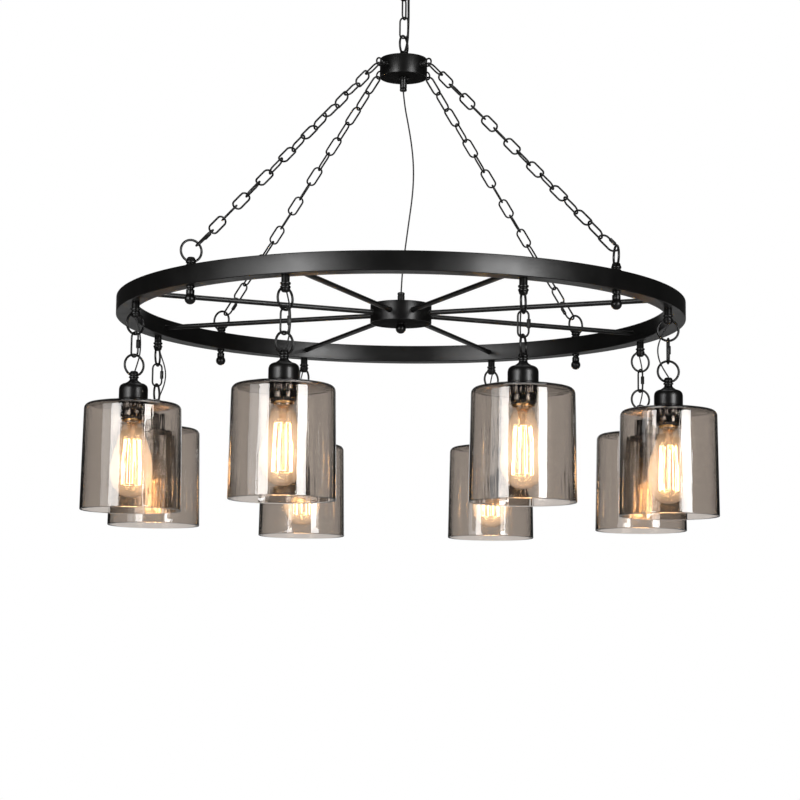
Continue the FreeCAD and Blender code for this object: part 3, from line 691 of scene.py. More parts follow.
def gland(name, node, downward):
    """A strain relief: a washer, a barrel with one groove and an eased end."""
    low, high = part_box(node)
    foot, end = (high.z, low.z) if downward else (low.z, high.z)
    way = math.copysign(1, end - foot)
    flange_r = (high.x - low.x) / 2
    outline = [(0, foot), (flange_r, foot), (flange_r, foot + way * FLANGE),
               (GLAND_R, foot + way * 4 * MM), (GLAND_R, end - way * 5.4 * MM),
               (GLAND_R - GLAND_GROOVE, end - way * 4.8 * MM), (GLAND_R, end - way * 4.2 * MM),
               (GLAND_R, end - way * 0.8 * MM), (GLAND_R - 1.2 * MM, end), (0, end)]
    return turned(name, eased(outline, 0.4 * MM, 2), 32)


for name in ("hub", "drum"):
    downward = name == "drum"       # the hub's cord comes in from above, the drum's goes out below
    for part, mesh, finish, node in (
            ("_can", can(name + " can", name), BLACK_STEEL, name),
            ("_plate", plate(name + " plate", name + "_cover"), MATT_PLATE, name + "_cover"),
            ("_strain_relief", gland(name + " gland", name + "_gland", downward), BLACK_STEEL,
             name + "_gland")):
        piece(name + part, mesh, finish, "fixture", [node])

# %% [markdown]
# Eight round bars run from the hub to the ring.  Where each meets the wall, the weld leaves
# a small bead.

# %% Spokes
SPOKE_R, BEAD, BEAD_LENGTH = 4 * MM, 0.9 * MM, 2.2 * MM
hub_r, bead_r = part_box("hub")[1].x, SPOKE_R + BEAD
spoke_start, spoke_end = hub_r - 0.1 * MM, inner_r - 0.02 * MM
spoke_outline = [(0, spoke_start), (bead_r, spoke_start), (SPOKE_R, hub_r + BEAD_LENGTH),
                 (SPOKE_R, inner_r - BEAD_LENGTH), (bead_r, spoke_end), (0, spoke_end)]
spoke = turned("spoke", eased(spoke_outline, 0.8 * MM, 2), 20)
spoke_places = []
for points in solids_of("spokes"):
    out = middle_of(points)
    out.z = 0
    spoke_places.append(pointing(UP * WHEEL_Z, UP, out))
piece("spoke_bars", set_out("spokes", spoke, spoke_places, BLACK_STEEL), BLACK_STEEL, "fixture",
      ["spokes"])
print("spokes", len(spoke_places))

# %% [markdown]
# Every loop is a turned collar with two beads, and a ring of round wire is brazed into its
# end.  The collar stands on whatever outline leads up to it, and the ring sinks a little
# into its top.

# %% Loops
COLLAR_SHAPE = [(1, 0), (1, 0.14), (0.97, 0.19), (0.80, 0.24), (0.79, 0.31), (0.97, 0.38),
                (1, 0.46), (0.97, 0.55), (0.86, 0.66), (0.84, 0.74), (0.78, 0.86), (0.60, 0.97),
                (0.42, 1), (0, 1)]  # foot, groove, bead, groove and shoulder


def loop(name, leading_up, height):
    """A collar and its ring.  'leading_up' is the outline below the collar, from the axis on."""
    foot = leading_up[-1][1]
    collar = [(COLLAR_R * r, foot + height * z) for r, z in COLLAR_SHAPE]
    ring_z = foot + height + RING_R + RING_WIRE_R - RING_SINK
    return joined(name, turned(name + " collar", eased(leading_up + collar, 0.5 * MM, 2), 32),
                  rod(name + " ring", ring_path(RING_R, ring_z), RING_WIRE_R, 12, closed=True))


def loop_places(node, upward):
    """Each loop stands on the end that is furthest from its ring."""
    places = []
    for points in solids_of(node):
        centre = middle_of(points)
        flat = [Vector((p.x, p.y, 0)) for p in points]
        foot = min(p.z for p in points) if upward else max(p.z for p in points)
        places.append(pointing(Vector((centre.x, centre.y, foot)), spread_axis(flat),
                               UP if upward else -UP))
    return places


plain_loop = loop("loop", [(0, 0)], COLLAR_HEIGHT)
print("loop", len(plain_loop.polygons), "faces")

# %% [markdown]
# Below the rim the same loop ends a short tube, one for each lamp.  Four kinds of place take
# a loop, so one line for each says which mesh goes where, and on which body it rides.

# %% Hangers and loops in place
TUBE_R, TUBE_LENGTH = 6.0 * MM, 10.5 * MM
hanger = loop("hanger", [(0, 0), (TUBE_R, 0), (TUBE_R, TUBE_LENGTH)], COLLAR_HEIGHT)
for name, node, pattern, upward, body in (
        ("rim_eye_loops", "rim_eyes", plain_loop, True, "fixture"),
        ("hanger_loops", "lamp_hangers", hanger, False, "fixture"),
        ("drum_top_loop", "drum_loop", plain_loop, True, "fixture"),
        ("canopy_end_loop", "canopy_loop", plain_loop, False, "ceiling_mount")):
    mesh = set_out(name, pattern, loop_places(node, upward), BLACK_STEEL)
    piece(name, mesh, BLACK_STEEL, body, [node])
    print(name, len(mesh.polygons), "faces")

# %% [markdown]
# The drum's side eyes are small screwed eyes: a turned stem, and a ring of wire round its
# end.  They point away from the drum's axis, where the frame has them.

# %% Side eyes
EYE_R, EYE_WIRE_R, EYE_STEM_R, EYE_REACH = 7.6 * MM, 1.4 * MM, 3.2 * MM, 17 * MM
eye_line = EYE_R - EYE_WIRE_R
eye_stem = EYE_REACH - eye_line
eye_outline = [(0, 0), (EYE_STEM_R * 1.25, 0), (EYE_STEM_R * 1.25, 1.6 * MM),
               (EYE_STEM_R, 2.2 * MM), (EYE_STEM_R, 0.5 * eye_stem),
               (0.62 * EYE_STEM_R, eye_stem), (0, eye_stem)]
side_eye = joined("side eye", turned("eye stem", eased(eye_outline, 0.4 * MM, 2), 20),
                  rod("eye ring", ring_path(eye_line, EYE_REACH, 28), EYE_WIRE_R, 10, closed=True))
drum_low, drum_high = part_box("drum")
drum_r, drum_z = drum_high.x, (drum_low.z + drum_high.z) / 2
eye_places = []
for points in solids_of("drum_eyes"):
    out = middle_of(points)
    out = Vector((out.x, out.y, 0)).normalized()
    eye_places.append(pointing(out * (drum_r - 0.1 * MM) + UP * drum_z, UP, out))
piece("drum_side_eyes", set_out("drum eyes", side_eye, eye_places, BLACK_STEEL), BLACK_STEEL,
      "fixture", ["drum_eyes"])
print("side eyes", len(eye_places))

# %% [markdown]
# Ball finials cover the nuts of the rim's loops from below, and one closes the hub.  The
# ball is turned in one piece with its neck and its washer.

# %% Finials
BALL_R, BALL_NECK_R, NECK_GROOVE_R = 8.2 * MM, 6.2 * MM, 4.6 * MM
BALL_STARTS, BALL_ENDS, BALL_STEPS = 40, -90, 14    # degrees above its middle
RIM_BALL_DROP, HUB_BALL_DROP = 19 * MM, 8.6 * MM    # from the seat to the ball's middle


def finial(name, drop, groove):
    """Washer, neck and ball below a seat at zero."""
    outline = [(0, 0), (BALL_NECK_R, 0)]
    if groove:
        outline += [(BALL_NECK_R, -3 * MM), (NECK_GROOVE_R, -3.6 * MM), (NECK_GROOVE_R, -5.2 * MM),
                    (BALL_NECK_R, -5.8 * MM)]
    outline = eased(outline + [(BALL_NECK_R, -drop + BALL_R * 0.85)], 0.5 * MM, 2)
    for k in range(BALL_STEPS + 1):
        a = math.radians(BALL_STARTS + (BALL_ENDS - BALL_STARTS) * k / BALL_STEPS)
        r = BALL_R * math.cos(a) if k < BALL_STEPS else 0
        outline.append((r, -drop + BALL_R * math.sin(a)))
    return turned(name, outline, 32)


finial_places = []
for points in solids_of("rim_finials"):
    seat = middle_of(points)
    seat.z = max(p.z for p in points)
    finial_places.append(pointing(seat, ACROSS))
rim_ball = finial("rim finial", RIM_BALL_DROP, groove=True)
hub_ball = finial("hub finial", HUB_BALL_DROP, groove=False)
piece("rim_ball_finials", set_out("rim finials", rim_ball, finial_places, BLACK_STEEL),
      BLACK_STEEL, "fixture", ["rim_finials"])
piece("hub_ball_finial", moved(hub_ball, Matrix.Translation(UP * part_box("hub_finial")[1].z)),
      BLACK_STEEL, "fixture", ["hub_finial"])
print("finials", len(finial_places) + 1)

# %% [markdown]
# Each chain is oval welded links that stand crosswise, and a quick link with a screwed
# hexagonal sleeve hooks it into the rim's ring.  The wire of a link is round, and its weld
# is ground flush.

# %% Link meshes
LINK_HALF, LINK_HALF_WIDTH, LINK_WIRE_R = 17.45 * MM, 7.0 * MM, 1.5 * MM
QUICK_HALF, QUICK_HALF_WIDTH, QUICK_GAP = 19.1 * MM, 7.8 * MM, 7 * MM
SLEEVE_R, SLEEVE_LENGTH, SLEEVE_CHAMFER = 2.9 * MM, 13 * MM, 0.7 * MM
link_mesh = rod("link", oval_path(LINK_HALF, LINK_HALF_WIDTH), LINK_WIRE_R, 8, closed=True)


def sleeve(name):
    """A hexagonal nut, its ends turned off, on the open side of the quick link."""
    half, hexagon = SLEEVE_LENGTH / 2, 6
    end_r, edge = 0.80 * SLEEVE_R, half - SLEEVE_CHAMFER
    rows = [(0.0, -half), (end_r, -half), (SLEEVE_R, -edge), (SLEEVE_R, edge), (end_r, half),
            (0.0, half)]
    return turned(name, rows, hexagon, sharp=20)


quick_wire = rod("quick wire", oval_path(QUICK_HALF, QUICK_HALF_WIDTH, gap=QUICK_GAP),
                 LINK_WIRE_R, 8)
quick_link = joined("quick link", quick_wire,
                    moved(sleeve("sleeve"), Matrix.Translation((QUICK_HALF_WIDTH, 0, 0))))
print("link", len(link_mesh.polygons), "faces, quick link", len(quick_link.polygons))

# %% [markdown]
# In the frame a sleeve is a solid of its own with few points, which tells it from a link.
# The link with a sleeve beside it is the quick one, and its open side faces the sleeve.

# %% Chains in place
SLEEVE_POINTS = 30                  # a sleeve has no more points than this, and a link has more
BESIDE = 12 * MM                    # from a quick link's middle to its own sleeve, at most


def link_places(node):
    """Places of a node's plain links, and of its quick links if it has any."""
    solids = solids_of(node)
    sleeves = [middle_of(points) for points in solids if len(points) <= SLEEVE_POINTS]
    plain, quick = [], []
    for points in solids:
        if len(points) <= SLEEVE_POINTS:
            continue
        place = link_place(points)
        sides = [sleeve_at - place.translation for sleeve_at in sleeves]
        sides = [side for side in sides if side.length < BESIDE]
        if sides:
            quick.append(pointing(place.translation, sides[0], place.col[2].to_3d()))
        else:
            plain.append(place)
    return plain, quick


for k in range(1, 5):
    node = "chain_%d" % k
    plain, quick = link_places(node)
    mesh = joined(node, set_out(node + " links", link_mesh, plain, BLACK_CHAIN),
                  set_out(node + " quick", quick_link, quick, BLACK_CHAIN))
    piece(node + "_links", mesh, BLACK_CHAIN, "fixture", [node])
    print(node, "links", len(plain), "quick links", len(quick))
for node, body in (("ceiling_top_link", "top_link"), ("ceiling_chain", "ceiling_chain")):
    plain = link_places(node)[0]
    piece(node + "_links", set_out(node, link_mesh, plain, BLACK_CHAIN), BLACK_CHAIN, body,
          [node])

# %% [markdown]
# The canopy is a shallow spun dish that hides the wiring box.  The crossbar behind it is
# zinc plated, as bought.

# %% Canopy
CANOPY_WALL, CANOPY_FLAT_R, CANOPY_BORE_R = 1.2 * MM, 30 * MM, 5.3 * MM

canopy_low, canopy_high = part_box("canopy")
canopy_r, depth = canopy_high.x, -canopy_low.z
dish = [(canopy_r, 0), (canopy_r, -0.34 * depth), (0.955 * canopy_r, -0.58 * depth),
        (0.86 * canopy_r, -0.77 * depth), (0.70 * canopy_r, -0.91 * depth),
        (CANOPY_FLAT_R, -depth), (CANOPY_BORE_R, -depth)]
inside = [(r - CANOPY_WALL if r > CANOPY_FLAT_R else r, z + (CANOPY_WALL if r < canopy_r else 0))
          for r, z in reversed(dish)]
piece("canopy_dish", turned("canopy dish", eased(dish + inside, 5 * MM, 4), 96), BLACK_STEEL,
      "ceiling_mount", ["canopy"])
for node, finish in (("ceiling_crossbar", ZINC), ("canopy_nipple", ZINC)):
    mesh = frame["nodes"][node].data
    mesh.materials.clear()
    mesh.materials.append(finish)
print("canopy", round(canopy_r * 2 / MM), "mm across")

# %% [markdown]
# A lamp hangs from its quick link by a loop on a turned neck.  Below it come the cup, the
# glass with its rounded shoulder, the socket with the ring that clamps the glass, and the
# bulb.  All eight are the same, so each part is made once and copied to its place.

# %% Lamp metal
neck = [(0, 0), (1.55 * COLLAR_R, 0), (1.5 * COLLAR_R, 0.10 * NECK_HEIGHT),
        (1.1 * COLLAR_R, 0.34 * NECK_HEIGHT), (0.84 * COLLAR_R, 0.58 * NECK_HEIGHT),
        (0.78 * COLLAR_R, 0.86 * NECK_HEIGHT), (0.9 * COLLAR_R, NECK_HEIGHT)]
lamp_loop = loop("lamp loop", neck, LAMP_COLLAR_HEIGHT)
cup_outline = [(0, 0), (CUP_R, 0), (CUP_R, 0.66 * CUP_HEIGHT), (0.95 * CUP_R, 0.83 * CUP_HEIGHT),
               (0.80 * CUP_R, 0.95 * CUP_HEIGHT), (0.6 * CUP_R, CUP_HEIGHT), (0, CUP_HEIGHT)]
cup = turned("cup", eased(cup_outline, 2.5 * MM, 4), 64)
lamp_metal = joined("lamp metal", cup, moved(lamp_loop, Matrix.Translation(UP * CUP_HEIGHT)))
print("lamp metal", len(lamp_metal.polygons), "faces")

# %% [markdown]
# The socket is a black moulding under the cup.  It has one groove round it and rounds off
# towards its mouth, where the bulb's cap goes in.

# %% Socket
SOCKET_R, SOCKET_LENGTH = 19.3 * MM, 30 * MM
CAP_R, CAP_LENGTH, CAP_ROOM = 13 * MM, 20 * MM, 0.4 * MM
GROOVE_R, mouth_r = 0.96 * SOCKET_R, CAP_R + CAP_ROOM
socket_outline = [(0, -0.1 * MM), (SOCKET_R, -0.1 * MM), (SOCKET_R, -14.5 * MM),
                  (GROOVE_R, -15.2 * MM), (GROOVE_R, -16.2 * MM), (SOCKET_R, -17 * MM),
                  (SOCKET_R, -22 * MM), (0.985 * SOCKET_R, -25 * MM), (0.92 * SOCKET_R, -28 * MM),
                  (0.80 * SOCKET_R, -SOCKET_LENGTH), (mouth_r, -SOCKET_LENGTH),
                  (mouth_r, -SOCKET_LENGTH + CAP_LENGTH), (0, -SOCKET_LENGTH + CAP_LENGTH)]
socket = turned("socket", eased(socket_outline, 0.7 * MM, 2), 48)
print("socket length", round(SOCKET_LENGTH / MM, 1), "mm")

# %% [markdown]
# A ribbed ring screws onto the socket from below and clamps the glass.  The ribs are steps
# in the ring's outline, so they show in the silhouette and not only in the shading.

# %% Shade ring
CLAMP_R, CLAMP_TOP, CLAMP_HEIGHT = 21.4 * MM, -3.6 * MM, 10.4 * MM
RIBS, RIB_DEPTH = 30, 0.55 * MM


def knurled_ring(name):
    """The ring that clamps the glass.  Of four steps round it two are ribs and two grooves."""
    inner, edge, steps = SOCKET_R + 0.1 * MM, CLAMP_R - 0.9 * MM, RIBS * 4
    rows = [(inner, 0, 0), (edge, 0, 0), (CLAMP_R, 0.8 * MM, 1),
            (CLAMP_R, CLAMP_HEIGHT - 0.8 * MM, 1), (edge, CLAMP_HEIGHT, 0),
            (inner, CLAMP_HEIGHT, 0)]
    vertices, faces = [], []
    for row_r, drop, ribbed in rows:
        for k in range(steps):
            a = 2 * math.pi * k / steps
            r = row_r - RIB_DEPTH * (k % 4 in (0, 1)) * ribbed
            vertices.append((r * math.cos(a), r * math.sin(a), CLAMP_TOP - drop))
    for i in range(len(rows)):
        j = (i + 1) % len(rows)
        for k in range(steps):
            n = (k + 1) % steps
            faces.append((i * steps + k, i * steps + n, j * steps + n, j * steps + k))
    return finished_mesh(name, vertices, faces, 30)


moulding = joined("moulding", socket, knurled_ring("shade ring"))
print("moulding", len(moulding.polygons), "faces")

# %% [markdown]
# The shade is a bell jar without a foot: a wide cylinder of blown glass, open below, with a
# round shoulder and a hole for the socket.  Its wall has a real thickness, because the two
# faces of a wall each mirror the room.

# %% Shade
shade_low, shade_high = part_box("lamp_1_shade")
SHADE_HEIGHT = shade_high.z - shade_low.z
SHADE_R, SHADE_TOP_R, SHADE_HOLE_R, SHADE_WALL = 75.5 * MM, 73 * MM, 20.2 * MM, 3 * MM
CROWN, SHOULDER, FOOT_EDGE = 6 * MM, 9 * MM, 0.9 * MM


def shade_mesh():
    """Outer line from the hole over the crown to the foot, and back inside the wall."""
    t, crown_r, inside_r = SHADE_WALL, SHADE_TOP_R - 2.2 * SHOULDER, SHADE_R - SHADE_WALL
    bend_r, bend_z, steps = SHADE_TOP_R - SHOULDER, -CROWN - SHOULDER, 7
    outer = [(SHADE_HOLE_R, 0), (CUP_R, 0), (crown_r, -0.62 * CROWN)]
    inner = [(SHADE_HOLE_R, -t), (CUP_R, -t), (crown_r, -0.62 * CROWN - t)]
    for k in range(steps + 1):
        a = math.pi / 2 * k / steps
        for line, r in ((outer, SHOULDER), (inner, SHOULDER - t)):
            line.append((bend_r + r * math.sin(a), bend_z + r * math.cos(a)))
    outer += [(SHADE_R, -SHADE_HEIGHT + FOOT_EDGE), (SHADE_R - FOOT_EDGE, -SHADE_HEIGHT)]
    inner += [(inside_r, -SHADE_HEIGHT + FOOT_EDGE), (inside_r + FOOT_EDGE, -SHADE_HEIGHT)]
    return turned("shade", eased(outer + inner[::-1], 0.8 * MM, 3), 96, 60)


shade = shade_mesh()
print("shade", len(shade.polygons), "faces,", round(SHADE_HEIGHT / MM, 1), "mm tall")

# %% [markdown]
# The bulb is a pear-shaped filament lamp.  Its glass is blown so thin that it doesn't bend
# what is behind it, so one skin with an IOR of 1 stands for it, and a coat gives its gloss.
# That also leaves more of Cycles' few bounces for the lamps behind.

# %% Bulb glass
BULB_R, BULB_LENGTH = 32 * MM, 113.5 * MM
BULB_SEAT = -SOCKET_LENGTH - 0.2 * MM
BULB_SHAPE = [(0.444, 0), (0.46, 0.05), (0.54, 0.14), (0.66, 0.25), (0.80, 0.37), (0.92, 0.49),
              (0.995, 0.61), (0.985, 0.72), (0.88, 0.83), (0.67, 0.92), (0.38, 0.98),
              (0.13, 0.997), (0, 1.0)]      # radius and height, as shares of the bulb's own

bulb_outline = [(0, BULB_SEAT + 0.5 * MM)] + [
    (BULB_R * r, BULB_SEAT - BULB_LENGTH * t) for r, t in flowing(BULB_SHAPE, 4)]
bulb_shell = turned("bulb glass", bulb_outline, 48, 60)
print("bulb", len(bulb_shell.polygons), "faces")

# %% [markdown]
# The screw cap goes up into the socket with five turns of rolled thread.  What shows from
# below is the bright lip of the socket's metal shell, just past the moulding's end.

# %% Screw cap
THREAD_TURNS, THREAD_PITCH = 5, 3 * MM
LIP_R, LIP_INNER_R, LIP_DEPTH = 15.8 * MM, 14.5 * MM, 1.8 * MM


def cap_outline():
    """From the contact down over the thread's turns to the glass."""
    top, neck_r = BULB_SEAT + CAP_LENGTH, CAP_R - 0.2 * MM
    points = [(0, top), (8 * MM, top), (CAP_R - 1.2 * MM, top - THREAD_PITCH / 2)]
    for k in range(THREAD_TURNS):
        z = top - THREAD_PITCH - k * THREAD_PITCH
        points += [(CAP_R - 0.1 * MM, z), (CAP_R - 1.1 * MM, z - THREAD_PITCH / 2)]
    return points + [(neck_r, BULB_SEAT + 0.4 * MM), (neck_r, BULB_SEAT), (0, BULB_SEAT)]


screw_cap = turned("screw cap", eased(cap_outline(), 0.7 * MM, 2), 32)
lip_top, lip_end = -SOCKET_LENGTH + 1 * MM, -SOCKET_LENGTH - LIP_DEPTH
lip_outline = [(LIP_INNER_R, lip_top), (LIP_R, lip_top), (LIP_R, lip_end), (LIP_INNER_R, lip_end)]
cap = joined("lamp cap", screw_cap, turned("shell lip", eased(lip_outline, 0.4 * MM, 2), 48))
print("cap", len(cap.polygons), "faces")

# %% [markdown]
# Inside the glass a stem of drawn glass carries the wires.  It flares at the neck, is
# pinched where the leads come out, and goes on as a thin rod to the lower star.

# %% Stem
CAGE_TOP, CAGE_END = BULB_SEAT - 29 * MM, BULB_SEAT - 94 * MM
STEM_TOP, PINCH, STEM_TIP = BULB_SEAT - 1 * MM, BULB_SEAT - 32 * MM, BULB_SEAT - 97 * MM
stem_outline = [(0, STEM_TOP), (11 * MM, STEM_TOP), (7 * MM, STEM_TOP - 10 * MM),
                (3.4 * MM, STEM_TOP - 22 * MM), (2.2 * MM, PINCH + 3 * MM), (3 * MM, PINCH),
                (1.6 * MM, PINCH - 2 * MM), (1.2 * MM, CAGE_END),
                (2.2 * MM, BULB_SEAT - 96 * MM), (0, STEM_TIP)]
stem = turned("bulb stem", eased(stem_outline, 1.5 * MM, 3), 20)
print("stem", len(stem.polygons), "faces")

# %% [markdown]
# The filament runs up and down between two stars of wire, in five hairpins that together
# look like a cage.  Two leads carry the upper star.

# %% Filament cage
CAGE_TOP_R, CAGE_END_R, CAGE_BELLY, HAIRPINS = 12 * MM, 14.5 * MM, 1.0 * MM, 5
STAR_WIRE_R, LEAD_WIRE_R, FILAMENT_R = 0.25 * MM, 0.35 * MM, 0.5 * MM


def on_cage(r, strand, z):
    """A point round the cage.  'strand' counts the filament's runs, and may lie between two."""
    a = 2 * math.pi * strand / (2 * HAIRPINS)
    return r * math.cos(a), r * math.sin(a), z


def filament_path():
    """A wire that runs down and up between the two stars."""
    points = []
    for k in range(2 * HAIRPINS):
        ends = [(CAGE_TOP, CAGE_TOP_R), (CAGE_END, CAGE_END_R)]
        if k % 2:
            ends.reverse()
        (z0, r0), (z1, r1) = ends
        for t, belly in ((0, 0), (0.5, CAGE_BELLY), (1, 0)):
            points.append(on_cage(r0 * (1 - t) + r1 * t + belly, k, z0 * (1 - t) + z1 * t))
    return points


def mount_wires():
    """Both stars, whose arms end between two strands, and the leads."""
    parts = []
    for z, r, beside in ((CAGE_TOP, CAGE_TOP_R, 0.5), (CAGE_END, CAGE_END_R, -0.5)):
        for k in range(HAIRPINS):
            parts.append(rod("wire", [(0, 0, z), on_cage(r, 2 * k + beside, z)], STAR_WIRE_R, 5))
    for side in (-1, 1):
        lead = [(side * 2.5 * MM, 0, STEM_TOP - 8 * MM), (side * 4 * MM, 0, PINCH + 8 * MM),
                (side * CAGE_TOP_R, 0, CAGE_TOP)]
        parts.append(rod("lead", lead, LEAD_WIRE_R, 5))
    return joined("mount wires", *parts)


filament = rod("filament", filament_path(), FILAMENT_R, 6)
wires = mount_wires()
print("filament", len(filament_path()), "points")

# %% [markdown]
# The glass round the cage gets a painted glow, an emission that stands in for the
# filament's light scattered in it.  Each point of the bulb and the stem keeps its share in
# an attribute, which their finish reads.

# %% Painted glow
def paint_glow(mesh):
    """Marks how much painted glow each point of the glass shows, most at the cage's middle height.
    """
    lit = mesh.attributes.new("painted_glow", "FLOAT", "POINT")
    middle, reach = (CAGE_TOP + CAGE_END) / 2, (CAGE_TOP - CAGE_END) * 0.9
    for item, vertex in zip(lit.data, mesh.vertices):
        away = min(abs(vertex.co.z - middle) / reach, 1)
        item.value = 1 - away * away


for lit_glass in (bulb_shell, stem):
    paint_glow(lit_glass)
print("paint_glow", bulb_shell.name, "and", stem.name)

# %% [markdown]
# A copy of each lamp mesh goes where the frame's joint says.  The joint's axis also says
# which way the ring on the cup faces.

# %% Hang the eight lamps
for number in range(1, LAMPS + 1):
    swing = JOINTS["link_%d_swing" % number]
    place = pointing(Vector((*swing["pos_m"][:2], CUP_BOTTOM)), swing["axis"])
    name, body = "lamp_%d_" % number, "lamp_%d" % number
    piece(name + "cup_and_loop", moved(lamp_metal, place), BLACK_STEEL, body,
          [name + "holder"])
    piece(name + "socket", moved(moulding, place), BLACK_MOULDING, body)
    piece(name + "glass", moved(shade, place), SHADE_GLASS, body, [name + "shade"])
    piece(name + "bulb_envelope", moved(bulb_shell, place), BULB_GLASS, body,
          [name + "bulb"])
    piece(name + "cap", moved(cap, place), BRASS, body)
    piece(name + "stem", moved(stem, place), STEM_GLASS, body)
    piece(name + "mount_wires", moved(wires, place), MOUNT_WIRE, body)
    piece(name + "filament", moved(filament, place), FILAMENT, body)
    quick = link_places(name + "link")[1]
    piece(name + "quick_link", set_out(name + "link", quick_link, quick, BLACK_CHAIN), BLACK_CHAIN,
          "link_%d" % number, [name + "link"])
print("lamps", LAMPS)

# %% [markdown]
# The cords are limp flex.  Their routes have the same points as in the CAD model.  Each
# point says in millimetres how far the cord lies to the side of the line that it hangs on,
# how far along the joint's axis, and how far below its upper end.

# %% Cord routes
HUB_CORD_R, FEED_CORD_R, LEAD_R = 1.2 * MM, 1.9 * MM, 1.1 * MM
LEAD_EXIT, FEED_EXIT = 3.0, 2.3     # where a cord comes out, millimetres to the side
HUB_ROUTE = [(2.5, 0.6, 24), (8.2, -0.8, 53), (13.6, -2.6, 84), (17.3, -3.9, 116),
             (18.0, -4.4, 149), (15.6, -3.6, 181), (11.4, -2.8, 213), (7.5, -1.2, 244),
             (3.6, -0.9, 276), (1.0, 0.2, 305)]
FEED_ROUTE = [(3.4, 3.1, 10), (4.9, 4.9, 22), (5.7, 5.3, 40), (5.1, 5.9, 60), (5.8, 5.2, 82),
              (5.1, 5.7, 103), (4.9, 4.8, 121), (3.4, 3.0, 134)]
LEAD_ROUTES = [
    [(3.6, -3.4, 11), (4.8, -6.3, 25), (5.2, -7.4, 41), (4.6, -6.2, 56), (3.5, -3.1, 70)],
    [(-3.5, 3.2, 11), (-4.6, 6.1, 25), (-5.2, 7.2, 40), (-4.8, 6.5, 56), (-3.6, 3.6, 70)],
    [(3.4, -6.4, 11), (4.5, -13.2, 24), (5.2, -17.4, 39), (4.9, -15.1, 55), (3.7, -8.2, 69)],
    [(-3.8, 3.5, 11), (-5.4, 6.3, 25), (-6.3, 7.3, 41), (-5.6, 6.0, 56), (-3.9, 3.2, 70)],
    [(3.6, 3.3, 11), (4.7, 5.5, 24), (5.3, 6.3, 40), (4.8, 5.4, 56), (3.5, 3.2, 70)],
    [(3.5, 3.3, 11), (4.6, 6.2, 25), (5.3, 7.3, 41), (4.7, 6.5, 57), (3.5, 3.5, 70)],
    [(6.2, 3.2, 11), (10.6, 5.3, 24), (13.2, 6.3, 39), (11.4, 5.6, 55), (6.9, 3.4, 69)],
    [(-3.8, -3.4, 11), (-5.2, -6.2, 24), (-6.2, -7.3, 40), (-5.5, -6.3, 56), (-3.8, -3.3, 70)]]
print("lead routes", len(LEAD_ROUTES))

# %% [markdown]
# A quadratic NURBS curve turns a route into a smooth line that starts and ends at the
# route's own ends.

# %% Cord lines
def routed(route, top, bottom, sideways, lengthways, start):
    """The route's points in the room, from 'top' to 'bottom'."""
    inner = [top + sideways * (s * MM) + lengthways * (a * MM) - UP * (drop * MM)
             for s, a, drop in route]
    return [top + sideways * (start * MM)] + inner + [bottom + sideways * (start * MM)]


def cord_curve(name, points):
    curve = bpy.data.curves.new(name, "CURVE")
    curve.dimensions = "3D"
    curve.resolution_u = 8
    spline = curve.splines.new("NURBS")
    spline.points.add(len(points) - 1)
    for target, point in zip(spline.points, points):
        target.co = (*point, 1)
    spline.order_u = 3
    spline.use_endpoint_u = True
    return curve


def smooth_line(name, points):
    """Points along the cord's own curve."""
    obj = bpy.data.objects.new(name, cord_curve(name, points))
    bpy.context.scene.collection.objects.link(obj)
    bpy.context.view_layer.update()
    mesh = bpy.data.meshes.new_from_object(obj.evaluated_get(bpy.context.evaluated_depsgraph_get()))
    line = [vertex.co.copy() for vertex in mesh.vertices]
    bpy.data.objects.remove(obj)
    return line


def length_of(line):
    return sum((b - a).length for a, b in zip(line, line[1:]))


print("first lead's route is", round(length_of([Vector(p) for p in LEAD_ROUTES[0]]), 1), "mm")

# %% [markdown]
# A cord that crosses joints is parted where it passes a link.  Each stretch is a tube of mesh
# that stays in its place in the room.

# %% Cord stretches
def parted(line, *heights):
    """A line cut into stretches at the given heights, from the top down."""
    stretches, rest = [], line
    for z in heights:
        cut = min(range(len(rest)), key=lambda i: abs(rest[i].z - z))
        stretches.append(rest[:cut + 1])
        rest = rest[cut:]
    return stretches + [rest]


def bending_cord(name, line, radius, node, upper, lower):
    """A stretch of cord as a tube of mesh, left in its place in the room.  'upper' and 'lower' are
    not used.
    """
    mesh = rod(name, line, radius, 8)
    obj = bpy.data.objects.new(name, mesh)
    bpy.context.scene.collection.objects.link(obj)
    mesh.materials.append(BLACK_FLEX)
    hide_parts(node)
    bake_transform(obj)


print("two stretches:", [len(stretch) for stretch in parted([UP * 3, UP * 2, UP * 1, UP * 0], 1.5)])

# %% [markdown]
# The cord between drum and hub crosses no joint.  It rides on the fixture as a round curve.

# %% Hub cord
drum_end, hub_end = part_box("drum_gland")[0].z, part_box("hub_gland")[1].z
hub_points = routed(HUB_ROUTE, UP * drum_end, UP * hub_end, ACROSS, AWAY, 0)
hub_curve = cord_curve("hub cord", hub_points)
hub_curve.bevel_depth = HUB_CORD_R
hub_curve.bevel_resolution = 3
hub_curve.use_fill_caps = True
hub_cord = bpy.data.objects.new("hub_flex", hub_curve)
bpy.context.scene.collection.objects.link(hub_cord)
hub_curve.materials.append(BLACK_FLEX)
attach(hub_cord, "fixture")
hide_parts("hub_cord")
hub_length = length_of(smooth_line("hub line", hub_points))
print("hub cord", round(hub_length, 4))

# %% [markdown]
# The supply cord hangs beside the ceiling chain and crosses its three joints, so it is
# parted twice: beside the top link, and below the place where the chain turns.

# %% Supply cord
ABOVE_LINK_END, BELOW_TURN = 18 * MM, 25 * MM

